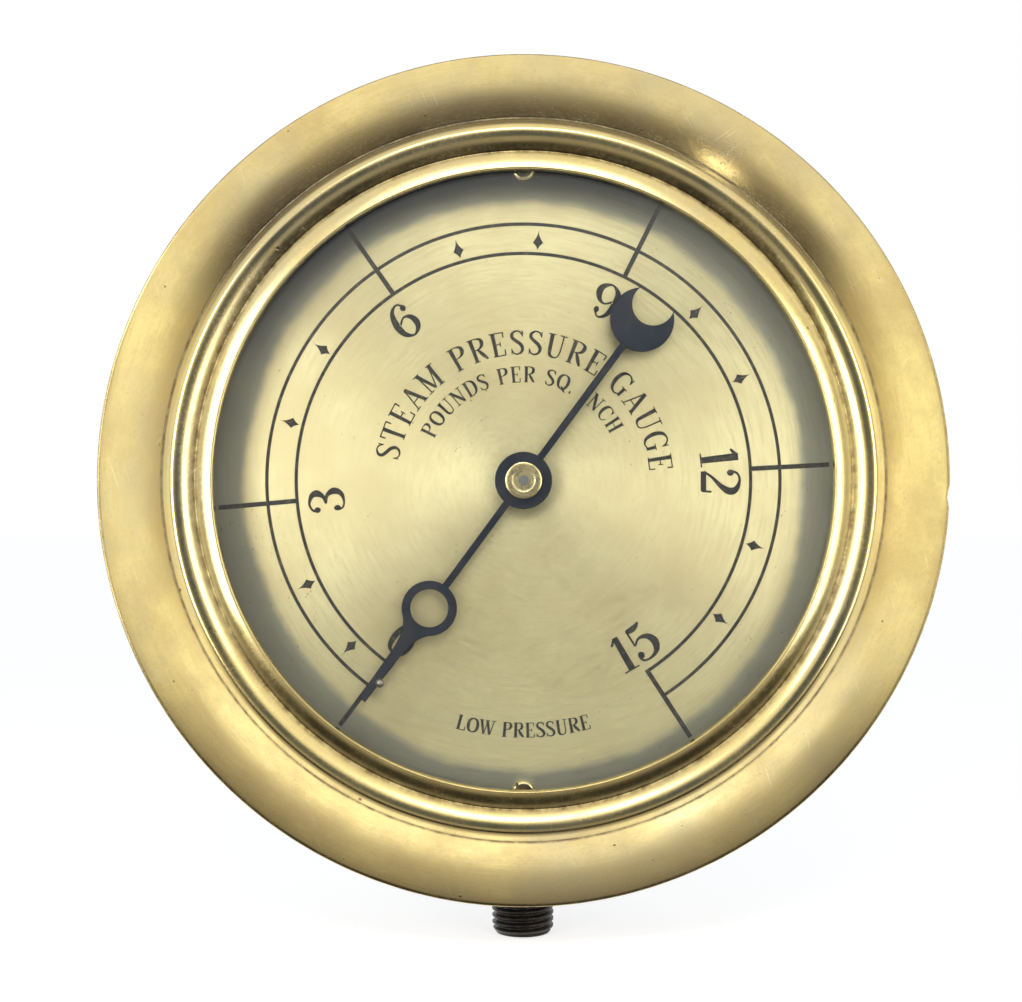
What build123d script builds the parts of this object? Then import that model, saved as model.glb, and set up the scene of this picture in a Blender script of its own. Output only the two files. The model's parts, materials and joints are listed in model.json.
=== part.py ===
from build123d import *
import os
from math import acos, atan, ceil, cos, degrees, pi, radians, sin, sqrt

# Steam pressure gauge with a turned brass ring, a curved pressure tube and a geared pointer.
# Millimetres. The gauge is drawn lying on its back: x to the right, y up the dial and z out of
# the dial towards the reader, with z = 0 on the stem's axis. UPRIGHT then stands it up on its
# stem, with the origin at the centre of the stem's lower end.

# Overall
SCALE_START = 36.9          # dial angle of the first mark, clockwise from straight down
SCALE_SWEEP = 290.0         # pointer travel from the first mark to the last
RUN_PLAY = 0.05             # radial clearance of shafts, screws and pins in their holes
FIT_PLAY = 0.01             # radial clearance of pieces pressed or clamped on a shaft
SEAT_PLAY = 0.3             # clearance round pieces dropped into a seat
LAYER_GAP = 0.12            # between plates that slide on each other

# Case, cast iron
CASE_RADIUS = 67.0
CASE_WALL = 4.0
CASE_BACK = -19.0           # level of the outer back face
CASE_MOUTH = 22.6           # level of the front face
CASE_BACK_EDGE = 5.0        # rounding of the back edge
CASE_THREAD_HEIGHT = 2.5    # collar that the ring screws on, above the case wall
CASE_THREAD_LENGTH = 11.6
CASE_LEDGE = 16.0           # level of the ledge under the dial
CASE_LEDGE_WIDTH = 3.2
LUG_WIDTH = 9.0             # lugs that take the dial screws
LUG_THICKNESS = 5.6
LUG_REACH = 5.5

# Ring, turned brass
RING_FLANGE = 16.2          # rim beyond the case's threaded collar
RING_WALL = 1.6
RING_RIM = 18.0             # level of the ring's widest plane
RING_EDGE = 1.3             # rounding of the widest edge
RING_TURN_BACK = 3.0        # rim turned back behind the widest plane
RING_COVER = 5.4            # width of the case mouth that the ring covers
RING_SKIRT_LENGTH = 11.1
RING_SKIRT_WALL = 2.4
LIP_EDGE_HEIGHT = 8.4       # heights from here on are above the widest plane
LIP_HEIGHT = 9.8            # crest of the small bead at the lip
LIP_OFFSET = 1.6            # offsets are outwards from the opening
COVE_HEIGHT = 8.8           # bottom of the groove between the beads
COVE_OFFSET = 4.0
BEAD_HEIGHT = 10.6          # crest of the large bead
BEAD_OFFSET = 7.5
SWEEP_HEIGHT = 9.0          # top of the hollow sweep that runs out to the rim
SWEEP_OFFSET = 9.8
SWEEP_HOLLOW = 0.85         # depth of the sweep below a straight line
ROOT_HEIGHT = 5.6           # where the underside meets the skirt

# Glass and its packing
GLASS_INSET = 0.7           # edge of the glass inside the threaded collar
GLASS_THICKNESS = 2.2
PACKING_WIDTH = 2.6
PACKING_THICKNESS = 0.8

# Dial, engraved brass plate
DIAL_PLAY = 0.4             # round its edge in the case mouth
DIAL_THICKNESS = 1.0
DIAL_HOLE_RADIUS = 2.7
ENGRAVING_DEPTH = 0.15
SCALE_OUTER = 52.0          # centre lines of the two scale circles
SCALE_INNER = 46.1
SCALE_LINE = 0.62
MARK_ANGLES = (36.9, 46.2, 64.3, 84.9, 104.0, 123.2, 145.1, 164.2,
               183.5, 206.4, 225.7, 244.8, 267.0, 285.8, 305.1, 326.9)
LONG_MARK_EVERY = 3         # every third mark is a long line, the others are darts
LONG_MARK_TUCK = 0.8        # how far the long marks run in under the ring
LONG_MARK_WIDTH = 0.65
DART_START = 47.0
DART_LENGTH = 4.0
DART_WIDTH = 1.74
DART_SHOULDER = 1.6         # from the inner tip to the widest place
DART_HOLLOW = 0.16

# Dial screws
DIAL_SCREW_INSET = 0.4      # from the case bore in to the screws' circle
DIAL_SCREW_RADIUS = 1.2
DIAL_SCREW_HEAD = 2.4
DIAL_SCREW_HEIGHT = 1.3
DIAL_SCREW_DEPTH = 6.0

# Stop pin that the pointer rests against
PIN_CIRCLE = 49.4
PIN_RADIUS = 0.4
PIN_HEAD_RADIUS = 0.9
PIN_HEAD_HEIGHT = 1.1

# Pointer, blued steel
POINTER_CLEARANCE = 2.7     # above the dial
POINTER_THICKNESS = 0.8
HUB_RADIUS = 5.7
SHAFT_WIDTH = 1.4
EYE_CENTRE = 31.65
EYE_RADIUS = 5.5
EYE_HOLE_RADIUS = 3.8
NECK_SPREAD = 40.0          # polar angle on the eye where the neck leaves it
NECK_END = 45.0
NECK_WIDTH = 2.0
POINTER_TIP = 54.3
POINTER_TIP_WIDTH = 1.6
MOON_CENTRE = 40.4
MOON_RADIUS = 6.6
MOON_BITE_CENTRE = 44.3
MOON_BITE_RADIUS = 4.45

# Brass boss that carries the pointer
BOSS_RADIUS = 3.6
BOSS_HEIGHT = 2.0
BOSS_CHAMFER = 0.5
BOSS_FOOT_RADIUS = 2.4
BOSS_FOOT_DEPTH = 1.7
BOSS_RECESS_RADIUS = 2.35
BOSS_RECESS_DEPTH = 0.5

# Gears
GEAR_MODULE = 0.3
PRESSURE_ANGLE = 20.0
PINION_TEETH = 12
WHEEL_TEETH = 148           # teeth that a whole wheel of the sector's size would have
PINION_ADDENDUM = 0.9       # tooth heights are in modules
WHEEL_ADDENDUM = 0.65
TIP_CLEARANCE = 0.25
BACKLASH = 0.04
PINION_OVERHANG = 0.4       # pinion teeth stand past each face of the sector
SECTOR_THICKNESS = 1.4
SECTOR_RIM = 3.2
SECTOR_HUB_RADIUS = 4.2
SECTOR_BEARING = -46.7      # polar angle of the sector arbor from the pointer axis
SECTOR_SPARE_TEETH = 2      # at each end of the toothed arc
WINDOW_SHARE = 0.45         # share of the arc that the sector's window spans

# Arbors
ARBOR_RADIUS = 1.3
ARBOR_END_RADIUS = 1.0
SECTOR_ARBOR_RADIUS = 1.6
PIVOT_RADIUS = 0.8

# Adjustable tail and link
TAIL_LENGTH = 12.0          # sector arbor to link screw
TAIL_BEARING = -25.9        # polar angle of the tail at mid travel
TAIL_WIDTH = 4.4
TAIL_THICKNESS = 1.2
TAIL_CLAMP = 7.6            # sector arbor to clamp screw
TAIL_SLOT = 2.4
LINK_LENGTH = 18.0
LINK_WIDTH = 2.6
LINK_THICKNESS = 1.0
LINK_EYE_RADIUS = 2.4

# Pressure tube, a flattened brass tube bent round the movement
TUBE_RADIUS = 48.0          # bend radius of its centre line
TUBE_DEPTH = 5.5            # across the flat, in the plane of the dial
TUBE_WIDTH = 11.0           # along the pointer axis
TUBE_WALL = 0.5
TUBE_LEVEL = -3.0           # level of its centre line
TUBE_ROOT = 250.0           # polar angle where it leaves the socket
TUBE_SWEEP = 265.0          # clockwise from the root to the tip, in degrees
TUBE_INSERT = 7.0           # degrees of tube held in the socket, and in its tip piece
TIP_WALL = 1.3
TIP_SPAN = 13.0             # degrees of arc that the tip piece covers
BRACKET_THICKNESS = 1.5
BRACKET_WIDTH = 4.8

# Socket and stem, one brass casting
STEM_REACH = 28.0           # stem below the case
THREAD_RADIUS = 6.7
THREAD_LENGTH = 14.0
THREAD_CHAMFER = 0.4
UNDERCUT_RADIUS = 5.9
UNDERCUT_LENGTH = 1.5
WRENCH_FLATS = 14.3
WRENCH_LENGTH = 11.0
NECK_RADIUS = 9.6
INLET_RADIUS = 3.0
PASSAGE_RADIUS = 1.5
BLOCK_LAND = 9.0            # from the tube's centre line in to the block's inner face
BLOCK_GAP = 3.0             # between the block and the case wall
BLOCK_SPAN = 35.0
BLOCK_FRONT = 7.0
PAD_HEIGHT = 4.5            # case pad that the block is screwed against
ARM_WIDTH = 18.0
ARM_THICKNESS = 6.0
ARM_OFFSET = 5.0            # arm's centre line to the right of the stem
MOVEMENT_SCREW_PITCH = 11.0

# Socket screws, put in from the back of the case
SOCKET_SCREW_RADIUS = 2.0
SOCKET_SCREW_HEAD = 3.6
SOCKET_SCREW_HEIGHT = 2.2
SOCKET_SCREW_DEPTH = 5.0    # thread length in the block
SOCKET_SCREW_INSET = 6.0    # degrees from the tube's end and from the block's end

# Movement frame
BACK_PLATE_FACE = -0.6      # level of the back plate's front face
PLATE_THICKNESS = 1.4
PLATE_MARGIN = 4.2
PILLAR_LENGTH = 8.2
PILLAR_RADIUS = 2.0
PILLAR_RIVET_RADIUS = 1.2
PILLAR_REACH = 11.5         # top pillar to the pointer axis
PILLAR_SPREAD = 10.0        # side pillars to the sector arbor
SECTOR_STANDOFF = 3.6       # sector above the back plate

# Hairspring
SPRING_HEIGHT = 1.0
SPRING_THICKNESS = 0.2
SPRING_PITCH = 1.3
SPRING_TURNS = 4.75
SPRING_DROP = 0.8           # below the front plate
COLLET_RADIUS = 2.2
COLLET_OVERHANG = 0.2
STUD_RADIUS = 0.9

# Small screws
SCREW_RADIUS = 0.8
SCREW_HEAD = 1.8
SCREW_HEIGHT = 0.9
SCREW_DEPTH = 4.0
SLOT_SHARE = 0.3            # of the head's radius

# Levels and sizes that follow from the ones above
CASE_BORE = CASE_RADIUS - CASE_WALL
CASE_FLOOR = CASE_BACK + CASE_WALL
CASE_STEP = CASE_MOUTH - CASE_THREAD_LENGTH
CASE_THREAD_RADIUS = CASE_RADIUS + CASE_THREAD_HEIGHT
MOUTH_BORE = CASE_BORE + CASE_LEDGE_WIDTH
AXIS_HEIGHT = CASE_RADIUS + STEM_REACH
RING_RADIUS = CASE_THREAD_RADIUS + RING_FLANGE
RING_EYE = MOUTH_BORE - RING_COVER
GLASS_RADIUS = CASE_THREAD_RADIUS - GLASS_INSET
GLASS_BACK = CASE_MOUTH + PACKING_THICKNESS
GLASS_FRONT = GLASS_BACK + GLASS_THICKNESS
SKIRT_BORE = CASE_THREAD_RADIUS + RUN_PLAY
SKIRT_RADIUS = SKIRT_BORE + RING_SKIRT_WALL
DIAL_RADIUS = MOUTH_BORE - DIAL_PLAY
DIAL_FACE = CASE_LEDGE + DIAL_THICKNESS
DIAL_SCREW_CIRCLE = CASE_BORE - DIAL_SCREW_INSET
POINTER_BACK = DIAL_FACE + POINTER_CLEARANCE
POINTER_FACE = POINTER_BACK + POINTER_THICKNESS
BOSS_TOP = POINTER_FACE + BOSS_HEIGHT
PAD_FACE = CASE_FLOOR + PAD_HEIGHT
BLOCK_INNER = TUBE_RADIUS - BLOCK_LAND
BLOCK_OUTER = CASE_BORE - BLOCK_GAP
BLOCK_END = TUBE_ROOT + BLOCK_SPAN
SOCKET_SCREW_CIRCLE = (BLOCK_INNER + BLOCK_OUTER) / 2
ARM_FACE = BACK_PLATE_FACE - PLATE_THICKNESS
FRONT_PLATE_BACK = BACK_PLATE_FACE + PILLAR_LENGTH
FRONT_PLATE_FACE = FRONT_PLATE_BACK + PLATE_THICKNESS
SECTOR_BACK = BACK_PLATE_FACE + SECTOR_STANDOFF
SECTOR_FACE = SECTOR_BACK + SECTOR_THICKNESS
TAIL_BACK = SECTOR_BACK - TAIL_THICKNESS
LINK_FACE = TAIL_BACK - LAYER_GAP
LINK_BACK = LINK_FACE - LINK_THICKNESS
BRACKET_FACE = LINK_BACK - LAYER_GAP
SPRING_FACE = FRONT_PLATE_BACK - SPRING_DROP
SPRING_BACK = SPRING_FACE - SPRING_HEIGHT
SPRING_START = COLLET_RADIUS + SPRING_THICKNESS
SPRING_END = SPRING_START + SPRING_PITCH * SPRING_TURNS
GEAR_RATIO = WHEEL_TEETH / PINION_TEETH
SECTOR_SWING = SCALE_SWEEP / GEAR_RATIO
CENTRE_DISTANCE = GEAR_MODULE * (PINION_TEETH + WHEEL_TEETH) / 2
MESH_BEARING = SECTOR_BEARING + 180
TAIL_REST = TAIL_BEARING - SECTOR_SWING / 2
TAIL_RISE = TAIL_LENGTH * (1 - cos(radians(SECTOR_SWING / 2)))
TUBE_TIP = TUBE_ROOT - TUBE_SWEEP

MIDDLE = Align.CENTER
FOOT = (MIDDLE, MIDDLE, Align.MIN)
UPRIGHT = Plane(origin=(0, 0, AXIS_HEIGHT), x_dir=(1, 0, 0), z_dir=(0, -1, 0)).location


def polar(radius, angle):
    return Vector(radius * cos(radians(angle)), radius * sin(radians(angle)))


SECTOR_AXIS = polar(CENTRE_DISTANCE, SECTOR_BEARING)
LINK_START = SECTOR_AXIS + polar(TAIL_LENGTH, TAIL_REST)
LINK_END = LINK_START + polar(LINK_LENGTH, TAIL_BEARING + 90)
TIP_SCREW = LINK_END + polar(TAIL_RISE / 2, TAIL_BEARING)
PILLARS = (polar(PILLAR_REACH, MESH_BEARING),
           SECTOR_AXIS + polar(PILLAR_SPREAD, SECTOR_BEARING + 90),
           SECTOR_AXIS + polar(PILLAR_SPREAD, SECTOR_BEARING - 90))
MOVEMENT_SCREWS = (Vector(ARM_OFFSET, -ARM_WIDTH / 2),
                   Vector(ARM_OFFSET, -ARM_WIDTH / 2 - MOVEMENT_SCREW_PITCH))
SOCKET_SCREWS = (polar(SOCKET_SCREW_CIRCLE, TUBE_ROOT + TUBE_INSERT + SOCKET_SCREW_INSET),
                 polar(SOCKET_SCREW_CIRCLE, BLOCK_END - SOCKET_SCREW_INSET))
DIAL_SCREWS = (polar(DIAL_SCREW_CIRCLE, 90), polar(DIAL_SCREW_CIRCLE, -90))
SPRING_STUD = polar(SPRING_END, SECTOR_BEARING)


# Drawing helpers

def rod(radius, low, high, at=Vector(0, 0)):
    return Pos(at.X, at.Y, low) * Cylinder(radius, high - low, align=FOOT)


def hollow_rod(radius, bore, low, high):
    return rod(radius, low, high) - rod(bore, low, high)


def slab(outline, low, high):
    """Give a flat outline thickness between two levels."""
    return Pos(0, 0, low) * extrude(outline, high - low, dir=(0, 0, 1))


def turned(edges):
    """Turn a closed outline, drawn as (radius, level), about the pointer axis."""
    return revolve(Plane.XZ * make_face(edges), Axis.Z, 360)


def ring_piece(inner, outer, start, end):
    """Flat piece of a ring between two radii and two polar angles."""
    rims = [CenterArc((0, 0), radius, start, end - start) for radius in (inner, outer)]
    sides = [Line(rims[0] @ t, rims[1] @ t) for t in (0, 1)]
    return make_face(rims + sides)


def bar(start, end, width):
    """Flat bar along x between two distances from the origin."""
    return Pos(start, 0) * Rectangle(end - start, width, align=(Align.MIN, MIDDLE))


def round_ended_bar(end, width):
    return bar(0, end, width) + Pos(end, 0) * Circle(width / 2)


def stem_rod(radius, start, end):
    """Round bar on the stem's axis, between two distances below the pointer axis."""
    return Pos(0, -start, 0) * Rot(-90, 0, 0) * Cylinder(radius, start - end, align=FOOT)


def slotted_screw(radius, depth, head, height):
    """Slotted screw seated at level 0, with its shank below and its head above."""
    cap = rod(head, 0, height)
    cap = fillet(cap.edges().group_by(Axis.Z)[-1], height / 2)
    slot = slab(Rectangle(2 * head, SLOT_SHARE * head), height / 2, height)
    return cap - slot + rod(radius, -depth, 0)


def at_place(shape, place, level, turn=0):
    return Pos(place.X, place.Y, level) * Rot(0, 0, turn) * shape


def group(solids):
    return Compound(children=list(solids))


# Case, ring and glass

def case():
    edge, step = CASE_BACK + CASE_BACK_EDGE, CASE_STEP
    shell = turned([
        Line((0, CASE_BACK), (CASE_RADIUS - CASE_BACK_EDGE, CASE_BACK)),
        SagittaArc((CASE_RADIUS - CASE_BACK_EDGE, CASE_BACK), (CASE_RADIUS, edge),
                   -CASE_BACK_EDGE * (1 - sqrt(0.5))),
        Polyline((CASE_RADIUS, edge), (CASE_RADIUS, step), (CASE_THREAD_RADIUS, step),
                 (CASE_THREAD_RADIUS, CASE_MOUTH), (MOUTH_BORE, CASE_MOUTH),
                 (MOUTH_BORE, CASE_LEDGE), (CASE_BORE, CASE_LEDGE),
                 (CASE_BORE, CASE_FLOOR), (0, CASE_FLOOR), (0, CASE_BACK)),
    ])
    shell += slab(ring_piece(BLOCK_INNER, CASE_BORE + CASE_WALL / 2, TUBE_ROOT, BLOCK_END),
                  CASE_FLOOR, PAD_FACE)
    lug = slab(bar(CASE_BORE - LUG_REACH, CASE_BORE + CASE_WALL / 2, LUG_WIDTH),
               CASE_LEDGE - LUG_THICKNESS, CASE_LEDGE)
    for side in (90, -90):
        shell += Rot(0, 0, side) * lug
    for place in DIAL_SCREWS:
        shell -= rod(DIAL_SCREW_RADIUS + FIT_PLAY, CASE_LEDGE - LUG_THICKNESS, CASE_LEDGE, place)
    shell -= stem_rod(NECK_RADIUS + SEAT_PLAY, CASE_THREAD_RADIUS, BLOCK_OUTER)
    for place in SOCKET_SCREWS:
        shell -= rod(SOCKET_SCREW_RADIUS + RUN_PLAY, CASE_BACK, PAD_FACE, place)
        shell -= rod(SOCKET_SCREW_HEAD + SEAT_PLAY, CASE_BACK, CASE_BACK + SOCKET_SCREW_HEIGHT,
                     place)
    return shell


def bezel_ring():
    def point(offset, height):
        return (RING_EYE + offset, RING_RIM + height)

    moulding = [(point(0, LIP_EDGE_HEIGHT), (0, 1)), (point(LIP_OFFSET, LIP_HEIGHT), (1, 0)),
                (point(COVE_OFFSET, COVE_HEIGHT), (1, 0)),
                (point(BEAD_OFFSET, BEAD_HEIGHT), (1, 0)),
                (point(SWEEP_OFFSET, SWEEP_HEIGHT), (1, -1))]
    lip_edge, sweep_start = moulding[0][0], moulding[-1][0]
    beads = [Spline(a, b, tangents=[a_way, b_way])
             for (a, a_way), (b, b_way) in zip(moulding, moulding[1:])]
    edge_start = (RING_RADIUS - RING_EDGE, RING_RIM + RING_EDGE)
    edge_end = (RING_RADIUS, RING_RIM)
    inner_rim = (RING_RADIUS - RING_WALL, RING_RIM)
    root = (SKIRT_RADIUS, RING_RIM + ROOT_HEIGHT)
    skirt_end = CASE_MOUTH - RING_SKIRT_LENGTH
    shoulder = CASE_MOUTH + SEAT_PLAY
    pocket = GLASS_RADIUS + SEAT_PLAY
    return turned(beads + [
        SagittaArc(sweep_start, edge_start, -SWEEP_HOLLOW),
        SagittaArc(edge_start, edge_end, RING_EDGE * (1 - sqrt(0.5))),
        Polyline(edge_end, (RING_RADIUS, RING_RIM - RING_TURN_BACK),
                 (inner_rim[0], RING_RIM - RING_TURN_BACK), inner_rim),
        SagittaArc(inner_rim, root, SWEEP_HOLLOW),
        Polyline(root, (SKIRT_RADIUS, skirt_end), (SKIRT_BORE, skirt_end),
                 (SKIRT_BORE, shoulder), (pocket, shoulder), (pocket, GLASS_FRONT),
                 (RING_EYE, GLASS_FRONT), lip_edge),
    ])


def glass():
    return rod(GLASS_RADIUS, GLASS_BACK, GLASS_FRONT)


def glass_packing():
    return hollow_rod(GLASS_RADIUS, GLASS_RADIUS - PACKING_WIDTH, CASE_MOUTH, GLASS_BACK)


# Dial

def dart():
    """Pointed scale mark along x, with hollow sides."""
    tips = [(0, 0), (DART_SHOULDER, DART_WIDTH / 2), (DART_LENGTH, 0),
            (DART_SHOULDER, -DART_WIDTH / 2)]
    sides = [SagittaArc(a, b, -DART_HOLLOW) for a, b in zip(tips, tips[1:] + tips[:1])]
    return Pos(DART_START, 0) * make_face(sides)


def engraving():
    """Scale circles, long marks and darts as flat outlines."""
    start, end = -90 - MARK_ANGLES[0], -90 - MARK_ANGLES[-1]
    lines = Sketch() + [ring_piece(radius - SCALE_LINE / 2, radius + SCALE_LINE / 2, end, start)
                        for radius in (SCALE_INNER, SCALE_OUTER)]
    for index, angle in enumerate(MARK_ANGLES):
        long = index % LONG_MARK_EVERY == 0
        mark = bar(SCALE_INNER, RING_EYE + LONG_MARK_TUCK, LONG_MARK_WIDTH) if long else dart()
        lines += Rot(0, 0, -90 - angle) * mark
    return lines


def dial():
    disc = rod(DIAL_RADIUS, CASE_LEDGE, DIAL_FACE)
    disc -= slab(engraving(), DIAL_FACE - ENGRAVING_DEPTH, DIAL_FACE)
    disc -= rod(DIAL_HOLE_RADIUS, CASE_LEDGE, DIAL_FACE)
    disc -= rod(PIN_RADIUS + FIT_PLAY, CASE_LEDGE, DIAL_FACE, stop_pin_place())
    for place in DIAL_SCREWS:
        disc -= rod(DIAL_SCREW_RADIUS + RUN_PLAY, CASE_LEDGE, DIAL_FACE, place)
    return disc


def dial_screws():
    screw = slotted_screw(DIAL_SCREW_RADIUS, DIAL_SCREW_DEPTH, DIAL_SCREW_HEAD, DIAL_SCREW_HEIGHT)
    return group(at_place(screw, place, DIAL_FACE, turn)
                 for place, turn in zip(DIAL_SCREWS, (20, -50)))


def stop_pin_place():
    """Just behind the resting pointer's edge."""
    taper = (PIN_CIRCLE - NECK_END) / (POINTER_TIP - NECK_END)
    pointer_width = NECK_WIDTH + (POINTER_TIP_WIDTH - NECK_WIDTH) * taper
    offset = pointer_width / 2 + PIN_RADIUS + RUN_PLAY
    return polar(PIN_CIRCLE, -90 - SCALE_START + degrees(offset / PIN_CIRCLE))


def stop_pin():
    seat = POINTER_FACE + LAYER_GAP
    head = rod(PIN_HEAD_RADIUS, seat, seat + PIN_HEAD_HEIGHT)
    head = fillet(head.edges().group_by(Axis.Z)[-1], PIN_HEAD_RADIUS - RUN_PLAY)
    pin = rod(PIN_RADIUS, CASE_LEDGE, seat) + head
    place = stop_pin_place()
    return Pos(place.X, place.Y, 0) * pin


# Pointer and its arbor

def pointer():
    half_neck = NECK_WIDTH / 2
    half_tip = POINTER_TIP_WIDTH / 2
    leave = Vector(EYE_CENTRE, 0) + polar(EYE_RADIUS, NECK_SPREAD)
    heading = polar(1, NECK_SPREAD - 90)
    upper = Spline(leave, (NECK_END, half_neck), tangents=[heading, (1, 0)])
    lower = mirror(upper, Plane.XZ)
    blade = make_face([
        upper, lower, Line(upper @ 0, lower @ 0),
        Polyline(upper @ 1, (POINTER_TIP, half_tip), (POINTER_TIP, -half_tip), lower @ 1),
    ])
    moon = Pos(-MOON_CENTRE, 0) * Circle(MOON_RADIUS)
    moon -= Pos(-MOON_BITE_CENTRE, 0) * Circle(MOON_BITE_RADIUS)
    outline = Circle(HUB_RADIUS) + bar(-MOON_CENTRE + MOON_RADIUS / 2, EYE_CENTRE, SHAFT_WIDTH)
    outline += Pos(EYE_CENTRE, 0) * Circle(EYE_RADIUS) + blade + moon
    outline -= Pos(EYE_CENTRE, 0) * Circle(EYE_HOLE_RADIUS)
    outline -= Circle(BOSS_FOOT_RADIUS + FIT_PLAY)
    return Rot(0, 0, -90 - SCALE_START) * slab(outline, POINTER_BACK, POINTER_FACE)


def pointer_boss():
    cap = rod(BOSS_RADIUS, POINTER_FACE, BOSS_TOP)
    cap = chamfer(cap.edges().group_by(Axis.Z)[-1], BOSS_CHAMFER)
    cap += rod(BOSS_FOOT_RADIUS, POINTER_BACK - BOSS_FOOT_DEPTH, POINTER_FACE)
    cap -= rod(BOSS_RECESS_RADIUS, BOSS_TOP - BOSS_RECESS_DEPTH, BOSS_TOP)
    return cap - rod(ARBOR_END_RADIUS + FIT_PLAY, POINTER_BACK - BOSS_FOOT_DEPTH, BOSS_TOP)


def flank(teeth, tooth_angle, low, high, steps=3):
    """Radii and half angles of an involute tooth side, from its root up to its tip."""
    pitch_radius = GEAR_MODULE * teeth / 2
    base_radius = pitch_radius * cos(radians(PRESSURE_ANGLE))

    def involute(radius):
        roll = sqrt(max((radius / base_radius) ** 2 - 1, 0))
        return degrees(roll - atan(roll))

    start = max(low, base_radius)
    rising = [start + (high - start) * step / steps for step in range(steps + 1)]
    radii = rising if low >= base_radius else [low] + rising
    return [(r, tooth_angle + involute(pitch_radius) - involute(r)) for r in radii]


def toothed_points(teeth, count, addendum, dedendum, first):
    """Outline points of teeth cut round the origin, the first centred on a polar angle."""
    pitch_radius = GEAR_MODULE * teeth / 2
    tooth_angle = degrees((pi * GEAR_MODULE / 2 - BACKLASH) / (2 * pitch_radius))
    side = flank(teeth, tooth_angle, pitch_radius - dedendum * GEAR_MODULE,
                 pitch_radius + addendum * GEAR_MODULE)
    points = []
    for tooth in range(count):
        middle = first + 360 / teeth * tooth
        points += [polar(r, middle - half) for r, half in side]
        points += [polar(r, middle + half) for r, half in reversed(side)]
    return points


def pinion_arbor():
    """Arbor with the pinion cut in it, so that a tooth space faces the sector at rest."""
    first = MESH_BEARING + 180 + SECTOR_SWING / 2 * GEAR_RATIO + 180 / PINION_TEETH
    teeth = toothed_points(PINION_TEETH, PINION_TEETH, PINION_ADDENDUM,
                           WHEEL_ADDENDUM + TIP_CLEARANCE, first)
    gear = slab(make_face(Polyline(*teeth, close=True)), SECTOR_BACK - PINION_OVERHANG,
                SECTOR_FACE + PINION_OVERHANG)
    pivot = rod(PIVOT_RADIUS, ARM_FACE + LAYER_GAP, BACK_PLATE_FACE + LAYER_GAP)
    body = rod(ARBOR_RADIUS, BACK_PLATE_FACE + LAYER_GAP, POINTER_BACK - BOSS_FOOT_DEPTH)
    end = rod(ARBOR_END_RADIUS, POINTER_BACK - BOSS_FOOT_DEPTH, BOSS_TOP - LAYER_GAP)
    return pivot + body + end + gear


def hairspring_collet():
    return hollow_rod(COLLET_RADIUS, ARBOR_RADIUS + FIT_PLAY, SPRING_BACK - COLLET_OVERHANG,
                      SPRING_FACE + COLLET_OVERHANG)


def hairspring():
    """Flat spiral ribbon from the collet out to the stud."""
    def spiral(side):
        steps = ceil(8 * SPRING_TURNS)
        turns = [SPRING_TURNS * step / steps for step in range(steps + 1)]
        return Spline([polar(SPRING_START + side * SPRING_THICKNESS / 2 + SPRING_PITCH * turn,
                             SECTOR_BEARING + 360 * (turn - SPRING_TURNS)) for turn in turns])

    inner, outer = spiral(-1), spiral(1)
    ends = [Line(inner @ t, outer @ t) for t in (0, 1)]
    return slab(make_face([inner, outer] + ends), SPRING_BACK, SPRING_FACE)


def hairspring_stud():
    """Post under the front plate, slotted for the spring's outer end."""
    low = SPRING_BACK - COLLET_OVERHANG
    slot = slab(Rectangle(SPRING_THICKNESS + 2 * RUN_PLAY, 2 * STUD_RADIUS), low,
                SPRING_FACE + RUN_PLAY)
    post = rod(STUD_RADIUS, low, FRONT_PLATE_FACE) - slot
    return at_place(post, SPRING_STUD, 0, SECTOR_BEARING)


# Sector, tail and link

def sector_gear():
    """Toothed sector in its rest position, with its hub, window and slotted tail."""
    pitch = 360 / WHEEL_TEETH
    per_side = ceil(SECTOR_SWING / 2 / pitch) + SECTOR_SPARE_TEETH
    middle = MESH_BEARING - SECTOR_SWING / 2
    root_depth = PINION_ADDENDUM + TIP_CLEARANCE
    points = toothed_points(WHEEL_TEETH, 2 * per_side + 1, WHEEL_ADDENDUM, root_depth,
                            middle - per_side * pitch)
    outline = make_face(Polyline(Vector(0, 0), *points, close=True)) + Circle(SECTOR_HUB_RADIUS)
    half_window = per_side * pitch * WINDOW_SHARE
    outline -= ring_piece(2 * SECTOR_HUB_RADIUS, CENTRE_DISTANCE - SECTOR_RIM - TAIL_WIDTH / 2,
                          middle - half_window, middle + half_window)
    tail = round_ended_bar(TAIL_CLAMP + TAIL_SLOT / 2, TAIL_WIDTH)
    tail -= Pos(TAIL_CLAMP, 0) * SlotOverall(TAIL_SLOT + 2 * SCREW_RADIUS,
                                             2 * (SCREW_RADIUS + RUN_PLAY))
    outline += Rot(0, 0, TAIL_REST) * tail
    outline -= Circle(SECTOR_ARBOR_RADIUS + FIT_PLAY)
    return at_place(slab(outline, SECTOR_BACK, SECTOR_FACE), SECTOR_AXIS, 0)


def sector_arbor():
    body = rod(SECTOR_ARBOR_RADIUS, BACK_PLATE_FACE + LAYER_GAP, FRONT_PLATE_BACK - LAYER_GAP)
    pivots = rod(PIVOT_RADIUS, ARM_FACE + LAYER_GAP, FRONT_PLATE_FACE)
    return at_place(body + pivots, SECTOR_AXIS, 0)


def tail_slide():
    start = SECTOR_ARBOR_RADIUS + SCREW_HEAD
    strip = bar(start, TAIL_LENGTH, TAIL_WIDTH) + Pos(TAIL_LENGTH, 0) * Circle(TAIL_WIDTH / 2)
    for distance in (TAIL_CLAMP, TAIL_LENGTH):
        strip -= Pos(distance, 0) * Circle(SCREW_RADIUS + FIT_PLAY)
    return at_place(slab(strip, TAIL_BACK, SECTOR_BACK), SECTOR_AXIS, 0, TAIL_REST)


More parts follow.
